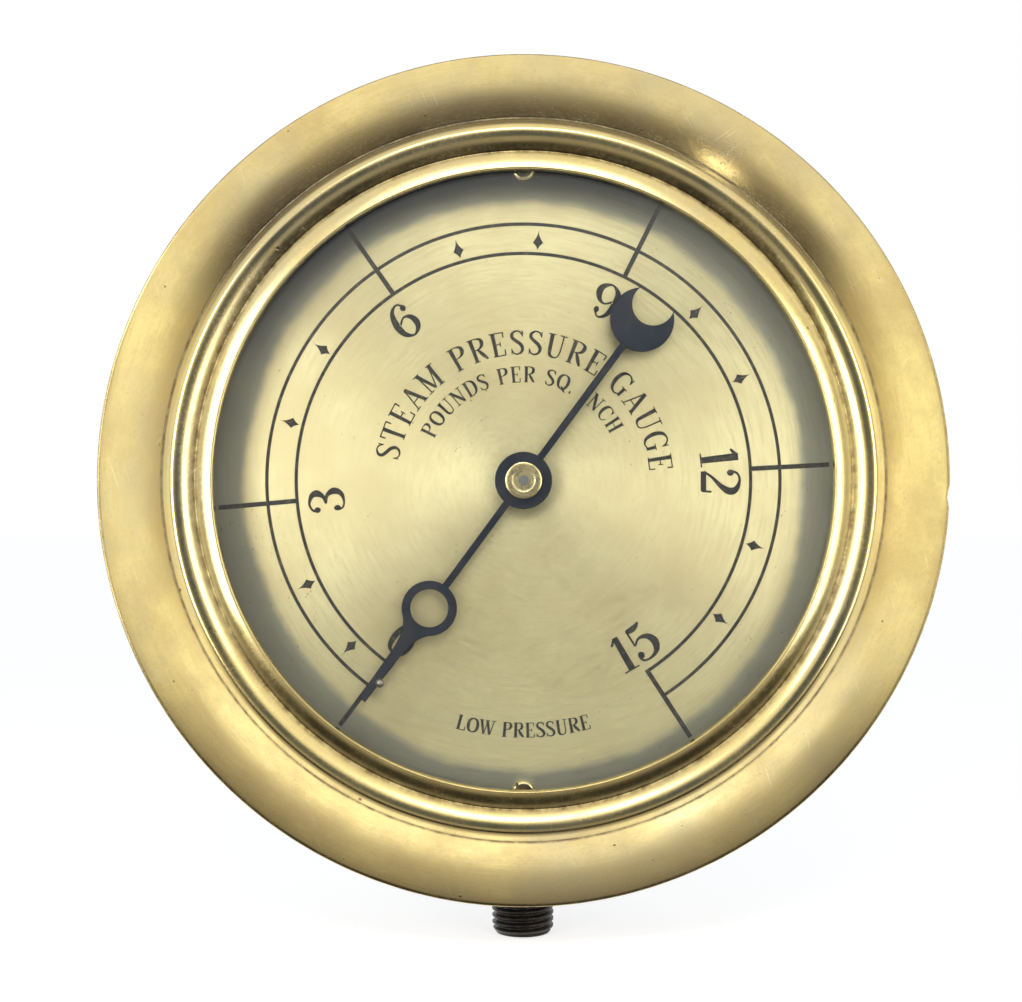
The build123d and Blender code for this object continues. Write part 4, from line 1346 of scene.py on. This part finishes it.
@dataclass
class BezelRing:
    """Turned brass ring: lip, small bead, groove, large bead, hollow sweep and rim."""

    eye: float = 60.8
    rim_level: float = 18.0
    rim_radius: float = 85.7
    edge: float = 0.3
    dent: Point = (85.4, -2.1)
    dent_depth: float = 0.5
    dent_spread: float = 1.5
    turn_back: float = 3.0
    wall: float = 1.6
    skirt_bore: float = 69.55
    skirt_radius: float = 71.95
    skirt_end: float = 11.5
    pocket: float = 69.1
    shoulder: float = 22.9
    glass_front: float = 25.6
    sweep_hollow: float = 0.85
    root_height: float = 5.6
    segments: int = 480

    def moulding(self) -> list[Point]:
        """Draw the beads and the groove, from the lip out to the top of the sweep.

        Returns:
            Radius and level of each point.
        """
        knots = [((0, 8.5), (0, 1)), ((0, 9.55), (0, 1)), ((0.3, 9.85), (0.99, -0.1)),
                 ((3.5, 8.95), (0.9, -0.44)), ((3.75, 8.95), (0.79, 0.61)), ((7.5, 10.6), (1, 0)),
                 ((9.75, 9.45), (0.84, -0.54)), ((9.95, 8.9), (0.35, -0.94))]
        points = [(self.eye + knots[0][0][0], self.rim_level + knots[0][0][1])]
        for (a, a_way), (b, b_way) in zip(knots, knots[1:]):
            length = math.dist(a, b)
            start = (self.eye + a[0], self.rim_level + a[1])
            end = (self.eye + b[0], self.rim_level + b[1])
            points += hermite(start, (a_way[0] * length, a_way[1] * length), end,
                              (b_way[0] * length, b_way[1] * length), 9)
        return points

    def profile(self) -> list[Point]:
        """Draw the ring's whole section.

        Returns:
            Radius and level of each point, the first repeated at the end.
        """
        points = self.moulding()
        edge_start = (self.rim_radius - self.edge, self.rim_level + self.edge)
        points += sagged(points[-1], edge_start, -self.sweep_hollow, 30)
        for step in range(1, 9):
            turn = math.radians(90 * (1 - step / 8))
            points.append((self.rim_radius - self.edge + self.edge * math.cos(turn),
                           self.rim_level + self.edge * math.sin(turn)))
        back = self.rim_level - self.turn_back
        inner = self.rim_radius - self.wall
        points += [(self.rim_radius, back + 0.3), (self.rim_radius - 0.3, back),
                   (inner + 0.3, back), (inner, back + 0.3), (inner, self.rim_level)]
        root = (self.skirt_radius, self.rim_level + self.root_height)
        points += sagged((inner, self.rim_level), root, self.sweep_hollow, 16)
        points += [(self.skirt_radius, self.skirt_end + 0.3),
                   (self.skirt_radius - 0.3, self.skirt_end),
                   (self.skirt_bore, self.skirt_end), (self.skirt_bore, self.shoulder),
                   (self.pocket, self.shoulder), (self.pocket, self.glass_front),
                   (self.eye, self.glass_front), points[0]]
        return points

    def knock(self, mesh: bpy.types.Mesh) -> None:
        """Press the small dent into the ring's edge.

        Args:
            mesh: The turned ring.
        """
        x, y = polar(*self.dent)
        centre = stand(x, y, self.rim_level)
        way = Vector((-x, 0.6 * self.dent[0], -y)).normalized() * self.dent_depth * MM
        for vert in mesh.vertices:
            away = (vert.co - centre).length / (self.dent_spread * MM)
            if away < 4:
                vert.co += way * math.exp(-away * away)

    def build(self, shop: Workshop) -> None:
        """Make the ring and put it on the case.

        Args:
            shop: The workshop.
        """
        ring = shop.tree(lathe_tree).make("turned_ring", profile_mesh(self.profile()),
                                          shop.finish(Finish.RING_BRASS),
                                          {"Segments": self.segments})
        self.knock(ring.data)
        shop.place(ring, "case_body", "ring_brass", "bezel_ring")


@dataclass
class Dial:
    """Engraved brass dial with its two screws and the stop pin."""

    radius: float = 65.8
    low: float = 16.0
    high: float = 17.0
    hole: float = 2.7
    pin_place: Point = (-28.57, -40.30)
    pin_hole: float = 0.41
    screw_circle: float = 62.6
    screw_hole: float = 1.25
    scale_radii: tuple[float, float] = (45.7, 51.6)
    scale_line: float = 0.72
    mark_angles: tuple[float, ...] = (36.9, 46.2, 64.3, 84.9, 104.0, 123.2, 145.1, 164.2,
                                      183.5, 206.4, 225.7, 244.8, 267.0, 285.8, 305.1, 326.9)
    long_mark_every: int = 3
    long_mark_end: float = 61.6
    long_mark_width: float = 0.98
    dart_start: float = 46.4
    dart_length: float = 4.6
    dart_width: float = 2.2
    dart_shoulder: float = 1.55
    captions: tuple[Caption, ...] = (
        Caption("0", 40.3, 217.1, 7.0, inward=True, broad=1.06, weight=1.25),
        Caption("3", 39.8, 264.1, 7.2, broad=1.06, weight=1.25),
        Caption("6", 40.1, -36.6, 7.2, broad=1.06, weight=1.25),
        Caption("9", 39.7, 24.8, 7.2, broad=1.06, weight=1.25),
        Caption("12", 39.7, 87.5, 7.8, broad=1.06, weight=1.25),
        Caption("15", 40.2, 146.3, 7.6, inward=True, broad=1.06, weight=1.25),
        Caption("STEAM PRESSURE GAUGE", 27.8, 2.5, 4.8, span=167, weight=1.3),
        Caption("POUNDS PER SQ. INCH", 21.4, -1.5, 3.2, span=127, weight=1.5),
        Caption("LOW PRESSURE", 50.2, 180, 3.0, span=31, inward=True, weight=1.6),
    )

    def marks(self) -> list[list[Point]]:
        """Draw the scale's circles, long marks and darts.

        Returns:
            Their outlines.
        """
        start, end = -90 - self.mark_angles[-1], -90 - self.mark_angles[0]
        half = self.scale_line / 2
        made = [ring_band(r - half, r + half, start, end, 0.75) for r in self.scale_radii]
        wide = self.long_mark_width / 2
        first = self.scale_radii[0] - half
        long = [(first, -wide), (self.long_mark_end, -wide), (self.long_mark_end, wide),
                (first, wide)]
        tip = (self.dart_start + self.dart_length, 0.0)
        shoulder = (self.dart_start + self.dart_shoulder, self.dart_width / 2)
        below = (shoulder[0], -shoulder[1])
        foot = (self.dart_start, 0.0)
        dart = (sagged(foot, below, 0.16, 4) + sagged(below, tip, 0.34, 6)
                + sagged(tip, shoulder, 0.34, 6) + sagged(shoulder, foot, 0.16, 4))
        for index, angle in enumerate(self.mark_angles):
            mark = dart if index % self.long_mark_every else long
            made.append(turned(mark, -90 - angle))
        return made

    def build(self, shop: Workshop) -> None:
        """Make the dial and dress what is fixed to it.

        Args:
            shop: The workshop.
        """
        holes = [circle(self.hole, 48), circle(self.pin_hole, 16, self.pin_place),
                 circle(self.screw_hole, 24, (0, self.screw_circle)),
                 circle(self.screw_hole, 24, (0, -self.screw_circle))]
        words = [outline for caption in self.captions for outline in caption.outlines()]
        plate = Plate([circle(self.radius, 288)], holes, self.low, self.high, 0.08,
                      self.marks() + words)
        dial = plate.build("engraved_dial", shop.finish(Finish.DIAL_BRASS),
                           shop.finish(Finish.INK))
        shop.place(dial, "case_body", "dial_brass", "dial")
        shop.dress("dial_screws", Finish.BRASS)
        shop.dress("stop_pin", Finish.STEEL)


@dataclass
class Pointer:
    """Blued steel pointer on its turned brass boss."""

    bearing: float = 216.4
    low: float = 19.7
    high: float = 20.5
    hub: float = 5.7
    boss_foot: float = 2.41
    shaft: float = 1.4
    eye_centre: float = 31.65
    eye_radius: float = 5.5
    eye_hole: float = 3.8
    neck_spread: float = 40.0
    neck_end: Point = (45.0, 1.0)
    tip: Point = (54.3, 0.8)
    moon_centre: float = -39.8
    moon_radius: float = 6.4
    bite_centre: float = -43.6
    bite_radius: float = 4.25
    boss_radius: float = 3.6
    boss_top: float = 22.5
    boss_back: float = 18.0
    recess: float = 2.35
    recess_floor: float = 22.0
    arbor_end: float = 1.01

    def outlines(self) -> list[list[Point]]:
        """Draw the pointer's parts, pointing along x.

        Returns:
            Overlapping outlines.
        """
        leave = polar(self.eye_radius, self.neck_spread)
        leave = (self.eye_centre + leave[0], leave[1])
        length = math.dist(leave, self.neck_end)
        way = polar(length, self.neck_spread - 90)
        side = [leave, *hermite(leave, way, self.neck_end, (length, 0), 16), self.tip]
        blade = [(x, -y) for x, y in side] + side[::-1]
        half = self.shaft / 2
        shaft = [(self.moon_centre + self.moon_radius / 2, -half), (self.eye_centre, -half),
                 (self.eye_centre, half), (self.moon_centre + self.moon_radius / 2, half)]
        return [circle(self.hub, 96), shaft, blade,
                circle(self.eye_radius, 96, (self.eye_centre, 0)),
                circle(self.moon_radius, 96, (self.moon_centre, 0))]

    def build(self, shop: Workshop) -> None:
        """Make the pointer and its boss, on the pointer's body.

        Args:
            shop: The workshop.
        """
        angle = 90 - self.bearing
        holes = [circle(self.eye_hole, 80, (self.eye_centre, 0)), circle(self.boss_foot, 48),
                 circle(self.bite_radius, 80, (self.bite_centre, 0))]
        plate = Plate([turned(o, angle) for o in self.outlines()],
                      [turned(o, angle) for o in holes], self.low, self.high, 0.14)
        pointer = plate.build("blued_pointer", shop.finish(Finish.BLUED_STEEL))
        shop.place(pointer, "pointer_body", "blued_steel", "pointer")
        top, edge = self.boss_top, 0.5
        floor = self.recess_floor
        profile = [(self.arbor_end, floor + 0.12), (1.55, floor + 0.12), (1.62, floor),
                   (self.recess - 0.25, floor), (self.recess - 0.05, floor + 0.06),
                   (self.recess, top - 0.1), (self.recess + 0.1, top),
                   (self.boss_radius - edge, top),
                   *sagged((self.boss_radius - edge, top), (self.boss_radius, top - edge),
                           -0.12, 6),
                   (self.boss_radius, self.high + 0.1), (self.boss_radius - 0.1, self.high),
                   (self.boss_foot - 0.01, self.high), (self.boss_foot - 0.01, self.boss_back),
                   (self.arbor_end, self.boss_back), (self.arbor_end, floor + 0.12)]
        boss = shop.tree(lathe_tree).make("turned_boss", profile_mesh(profile),
                                          shop.finish(Finish.BRASS), {"Segments": 96})
        shop.place(boss, "pointer_body", "brass", "pointer_boss")
        shop.dress("pinion_arbor", Finish.STEEL)


@dataclass
class Stem:
    """Blackened socket with its threaded lower end."""

    thread_length: float = 14.0
    pitch: float = 1.411
    end_radius: float = 6.42
    top_radius: float = 6.69

    def build(self, shop: Workshop) -> None:
        """Make the socket with a real thread in place of its plain end.

        Args:
            shop: The workshop.
        """
        black = shop.finish(Finish.BLACKENED)
        node = shop.frame["nodes"]["stem_socket"]
        work = bmesh.new()
        work.from_mesh(node.data)
        bmesh.ops.remove_doubles(work, verts=work.verts, dist=1e-7)
        cut = self.thread_length * MM + 2e-5
        parts = work.verts[:] + work.edges[:] + work.faces[:]
        bmesh.ops.bisect_plane(work, geom=parts, plane_co=(0, 0, cut), plane_no=(0, 0, 1),
                               clear_inner=True, dist=1e-7)
        rims = [edge for edge in work.edges if edge.is_boundary]
        bmesh.ops.bridge_loops(work, edges=rims)
        bmesh.ops.recalc_face_normals(work, faces=work.faces)
        thread = shop.tree(thread_tree).make("thread", bpy.data.meshes.new("blank"), black, {
            "Length": cut, "Pitch": self.pitch * MM, "End Radius": self.end_radius * MM,
            "Top Radius": self.top_radius * MM})
        work.from_mesh(thread.data)
        bpy.data.objects.remove(thread)
        mesh = bpy.data.meshes.new("threaded_socket")
        work.to_mesh(mesh)
        work.free()
        for face in mesh.polygons:
            face.material_index = 0
        mesh.materials.clear()
        mesh.materials.append(black)
        smooth_shade(mesh)
        shop.place(make_object("threaded_socket", mesh), "case_body", "blackened_brass",
                   "stem_socket")


@dataclass
class PressureTube:
    """Flattened tube bent round the movement, which opens out as the pressure rises."""

    bend: float = 48.0
    level: float = -3.0
    width: float = 11.0
    depth: float = 5.5
    root: float = 257.0
    tip: float = -15.0
    segments: int = 160

    def build(self, shop: Workshop) -> None:
        """Make the tube in place of the CAD tube, and dress its tip.

        Args:
            shop: The workshop.
        """
        straight = (self.width - self.depth) / 2
        half = self.depth / 2 - 0.01
        outline = []
        for side in (1, -1):
            for step in range(13):
                turn = math.radians(180 * step / 12) + (0 if side > 0 else math.pi)
                outline.append((self.bend + half * math.cos(turn),
                                self.level + side * straight + half * math.sin(turn)))
        tube = shop.tree(lathe_tree).make(
            "bent_tube", profile_mesh([*outline, outline[0]]), shop.finish(Finish.TUBE_BRASS),
            {"Segments": self.segments, "Start": -math.radians(self.root),
             "Sweep": math.radians(self.root - self.tip)})
        work = bmesh.new()
        work.from_mesh(tube.data)
        bmesh.ops.holes_fill(work, edges=[edge for edge in work.edges if edge.is_boundary])
        bmesh.ops.recalc_face_normals(work, faces=work.faces)
        work.to_mesh(tube.data)
        work.free()
        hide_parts("pressure_tube")
        x, y = polar(self.bend, self.tip)
        tuple(stand(0, y, self.level))
        tuple(stand(x, y, self.level))
        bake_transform(tube)
        LOG.info("made bent_tube, %d faces", len(tube.data.polygons))
        shop.dress("tube_tip", Finish.BRASS)




def toward(off_axis: float, around: float) -> Vector:
    """Find the way to a place in the studio, as the dial sees it.

    Args:
        off_axis: Degrees away from straight out of the dial.
        around: Degrees round the axis, from the right over the top.

    Returns:
        The unit vector.
    """
    tilt, turn = math.radians(off_axis), math.radians(around)
    return Vector((math.sin(tilt) * math.cos(turn), -math.cos(tilt),
                   math.sin(tilt) * math.sin(turn)))


@dataclass(frozen=True)
class SoftBox:
    """One studio lamp: a large even rectangle of light, aimed at the dial."""

    name: str
    off_axis: float
    around: float
    size: tuple[float, float]
    brightness: float
    distance: float = 0.42
    colour: Colour = (1.0, 0.97, 0.92)

    def build(self) -> None:
        """Hang the lamp."""
        data = bpy.data.lights.new(self.name, "AREA")
        data.shape = "RECTANGLE"
        data.size, data.size_y = self.size
        data.energy = self.brightness * math.pi * self.size[0] * self.size[1]
        data.color = self.colour
        lamp = bpy.data.objects.new(self.name, data)
        bpy.context.scene.collection.objects.link(lamp)
        way = toward(self.off_axis, self.around)
        lamp.location = Vector(AXIS_PLACE) + way * self.distance
        lamp.rotation_euler = way.to_track_quat("Z", "Y").to_euler()
        lamp.visible_camera = False


Ramp = tuple[tuple[float, Colour], ...]


@dataclass(frozen=True)
class Surround:
    """Cards round the front of the gauge that only its metal and glass see.

    Each ramp gives the cards' light on one side of the gauge, by degrees away from straight out
    of the dial.
    """

    distance: float = 0.45
    reach: float = 98.0
    brightest: float = 2.0
    side: Ramp = ((12, (0.10, 0.12, 0.15)), (20, (0.55, 0.51, 0.42)), (53, (0.50, 0.45, 0.35)),
                  (60, (1.45, 1.40, 1.18)), (76, (1.45, 1.38, 1.12)), (84, (1.05, 0.94, 0.68)),
                  (92, (0.75, 0.62, 0.42)))
    top: Ramp = ((12, (0.10, 0.12, 0.15)), (20, (1.10, 1.05, 0.95)), (60, (1.25, 1.20, 1.08)),
                 (70, (1.15, 1.10, 1.00)), (78, (0.32, 0.28, 0.25)), (90, (0.07, 0.06, 0.055)))
    bottom: Ramp = ((12, (0.10, 0.12, 0.15)), (19, (0.45, 0.42, 0.38)), (32, (0.40, 0.37, 0.33)),
                    (38, (0.04, 0.035, 0.03)), (54, (0.03, 0.028, 0.025)),
                    (59, (0.42, 0.38, 0.34)), (72, (0.70, 0.65, 0.58)), (79, (1.60, 1.55, 1.42)),
                    (98, (1.70, 1.62, 1.45)))

    def light(self, s: Shading, off_axis: bpy.types.NodeSocket,
              ramp: Ramp) -> bpy.types.NodeSocket:
        """Add one side's ramp.

        Args:
            s: The cards' material.
            off_axis: Degrees away from straight out of the dial.
            ramp: The side's light.

        Returns:
            Its colour, as a share of the brightest.
        """
        made = s.node("ShaderNodeValToRGB",
                      {"Fac": s.math("DIVIDE", off_axis, self.reach)}).color_ramp
        while len(made.elements) < len(ramp):
            made.elements.new(0.5)
        for element, (angle, colour) in zip(made.elements, ramp):
            element.position = angle / self.reach
            element.color = (*(part / self.brightest for part in colour), 1.0)
        return s.tree.nodes[-1].outputs["Color"]

    def build(self) -> None:
        """Put the cards up as one curved surface."""
        rows, columns = 24, 48
        places = [Vector(AXIS_PLACE) + toward(self.reach * row / rows, 360 * column / columns)
                  * self.distance for row in range(rows + 1) for column in range(columns)]
        faces = [(r * columns + c, r * columns + (c + 1) % columns,
                  (r + 1) * columns + (c + 1) % columns, (r + 1) * columns + c)
                 for r in range(rows) for c in range(columns)]
        mesh = bpy.data.meshes.new("cards")
        mesh.from_pydata(places, [], faces)
        s = Shading("cards")
        way = s.vector("NORMALIZE", s.vector("SUBTRACT", s.place, AXIS_PLACE))
        parts = s.node("ShaderNodeSeparateXYZ", {"Vector": way}).outputs
        forward = s.math("MULTIPLY", parts["Y"], -1.0)
        off_axis = s.math("DEGREES", s.math("ARCCOSINE", forward))
        tilt = s.math("SQRT", s.math("SUBTRACT", 1.001, s.math("POWER", forward, 2.0)))
        above = s.step(s.math("DIVIDE", parts["Z"], tilt), -0.35, 0.25)
        aside = s.math("DIVIDE", s.math("ABSOLUTE", parts["X"]), tilt)
        colour = s.blend(above, self.light(s, off_axis, self.bottom),
                         self.light(s, off_axis, self.top))
        colour = s.blend(s.step(aside, 0.75, 1.02), colour, self.light(s, off_axis, self.side))
        glow = s.node("ShaderNodeEmission", {"Color": colour, "Strength": self.brightest})
        s.put(s.tree.nodes["Material Output"].inputs["Surface"], glow.outputs[0])
        mesh.materials.append(s.material)
        cards = make_object("cards", mesh)
        for kind in ("camera", "diffuse", "shadow", "volume_scatter"):
            setattr(cards, "visible_" + kind, False)


@dataclass
class Studio:
    """Pale floor, white surroundings, soft lamps and the camera."""

    camera_place: tuple[float, float, float] = (-0.0025, -0.358, 0.0909)
    lens: float = 59.6
    sensor: float = 36.0
    floor_size: float = 8.0
    lamps: tuple[SoftBox, ...] = (
        SoftBox("left_window", 36, 174, (0.12, 0.28), 5.5),
        SoftBox("right_window", 33, 2, (0.11, 0.24), 4.5),
        SoftBox("top_window", 33, 92, (0.20, 0.10), 4.5),
        SoftBox("low_window", 85, -60, (0.05, 0.12), 1.2, colour=(0.82, 0.93, 1.0)),
        SoftBox("low_side_window", 83, -4, (0.07, 0.12), 0.5),
        SoftBox("small_lamp", 86, 58, (0.026, 0.026), 14.0, colour=(1.0, 0.9, 0.7)),
    )

    def place_camera(self) -> None:
        """Set the camera level with the dial, at the photograph's distance."""
        data = bpy.data.cameras.new("camera")
        data.lens, data.sensor_width = self.lens, self.sensor
        camera = bpy.data.objects.new("camera", data)
        camera.location = self.camera_place
        camera.rotation_euler = (math.pi / 2, 0, 0)
        bpy.context.scene.collection.objects.link(camera)
        bpy.context.scene.camera = camera

    def seen_white(self, tree: bpy.types.NodeTree) -> bpy.types.NodeSocket:
        """Add nodes that tell rays from the camera, through glass or off metal.

        Args:
            tree: The material's or world's tree.

        Returns:
            A socket that is 1 for those rays.
        """
        paths = tree.nodes.new("ShaderNodeLightPath")
        total = paths.outputs["Is Camera Ray"]
        for name in ("Is Glossy Ray", "Is Transmission Ray"):
            joined = tree.nodes.new("ShaderNodeMath")
            joined.operation = "MAXIMUM"
            tree.links.new(total, joined.inputs[0])
            tree.links.new(paths.outputs[name], joined.inputs[1])
            total = joined.outputs[0]
        return total

    def paint_world(self) -> None:
        """Make the surroundings white where seen and a dim even grey as light."""
        world = bpy.data.worlds.new("surroundings")
        bpy.context.scene.world = world
        world.use_nodes = True
        tree = world.node_tree
        even = tree.nodes["Background"]
        even.inputs["Color"].default_value = (0.75, 0.80, 0.88, 1)
        even.inputs["Strength"].default_value = 0.35
        white = tree.nodes.new("ShaderNodeBackground")
        white.inputs["Color"].default_value = (1, 1, 1, 1)
        mixed = tree.nodes.new("ShaderNodeMixShader")
        tree.links.new(self.seen_white(tree), mixed.inputs[0])
        tree.links.new(even.outputs[0], mixed.inputs[1])
        tree.links.new(white.outputs[0], mixed.inputs[2])
        tree.links.new(mixed.outputs[0], tree.nodes["World Output"].inputs["Surface"])

    def lay_floor(self) -> None:
        """Lay the floor that the stem stands on."""
        half = self.floor_size / 2
        mesh = bpy.data.meshes.new("floor")
        mesh.from_pydata([(-half, -half, -0.0002), (half, -half, -0.0002),
                          (half, half, -0.0002), (-half, half, -0.0002)], [], [(0, 1, 2, 3)])
        floor = make_object("floor", mesh)
        s = Shading("pale_floor")
        cloth = s.noise(900, 3)
        s.set(Base_Color=(0.86, 0.86, 0.85), Roughness=0.9, Normal=s.bump(cloth, 4e-5),
              Specular_IOR_Level=0.1)
        seen = self.seen_white(s.tree)
        s.put(s.shader.inputs["Emission Color"], (1.0, 1.0, 1.0))
        s.put(s.shader.inputs["Emission Strength"], s.math("MULTIPLY", seen, 0.72))
        mesh.materials.append(s.material)
        floor.visible_glossy = floor.visible_transmission = False

    def build(self) -> None:
        """Set up everything that isn't part of the gauge."""
        self.place_camera()
        self.paint_world()
        self.lay_floor()
        Surround().build()
        for lamp in self.lamps:
            lamp.build()
        bpy.context.scene.view_settings.view_transform = "Standard"


CAD_FINISHES = {
    "case": Finish.ENAMEL, "glass": Finish.GLASS, "glass_packing": Finish.PACKING,
    "hairspring_collet": Finish.BRASS, "hairspring": Finish.SPRING_BRONZE,
    "hairspring_stud": Finish.BRASS, "sector_gear": Finish.BRASS, "sector_arbor": Finish.STEEL,
    "tail_slide": Finish.BRASS, "tail_screw": Finish.STEEL, "link": Finish.STEEL,
    "link_screw": Finish.STEEL, "tip_screw": Finish.STEEL, "socket_screws": Finish.STEEL,
    "movement_back_plate": Finish.BRASS, "movement_front_plate": Finish.BRASS,
    "movement_pillars": Finish.BRASS, "plate_screws": Finish.STEEL,
    "movement_screws": Finish.STEEL,
}


def main() -> None:
    """Load the frame, set up the studio and dress the gauge."""
    logging.basicConfig(level=logging.INFO, format="%(message)s")
    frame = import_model()
    shop = Workshop(frame)
    Studio().build()
    for node, finish in CAD_FINISHES.items():
        shop.dress(node, finish)
    for piece in (BezelRing(), Dial(), Pointer(), Stem(), PressureTube()):
        piece.build(shop)


if __name__ == "__main__":
    main()
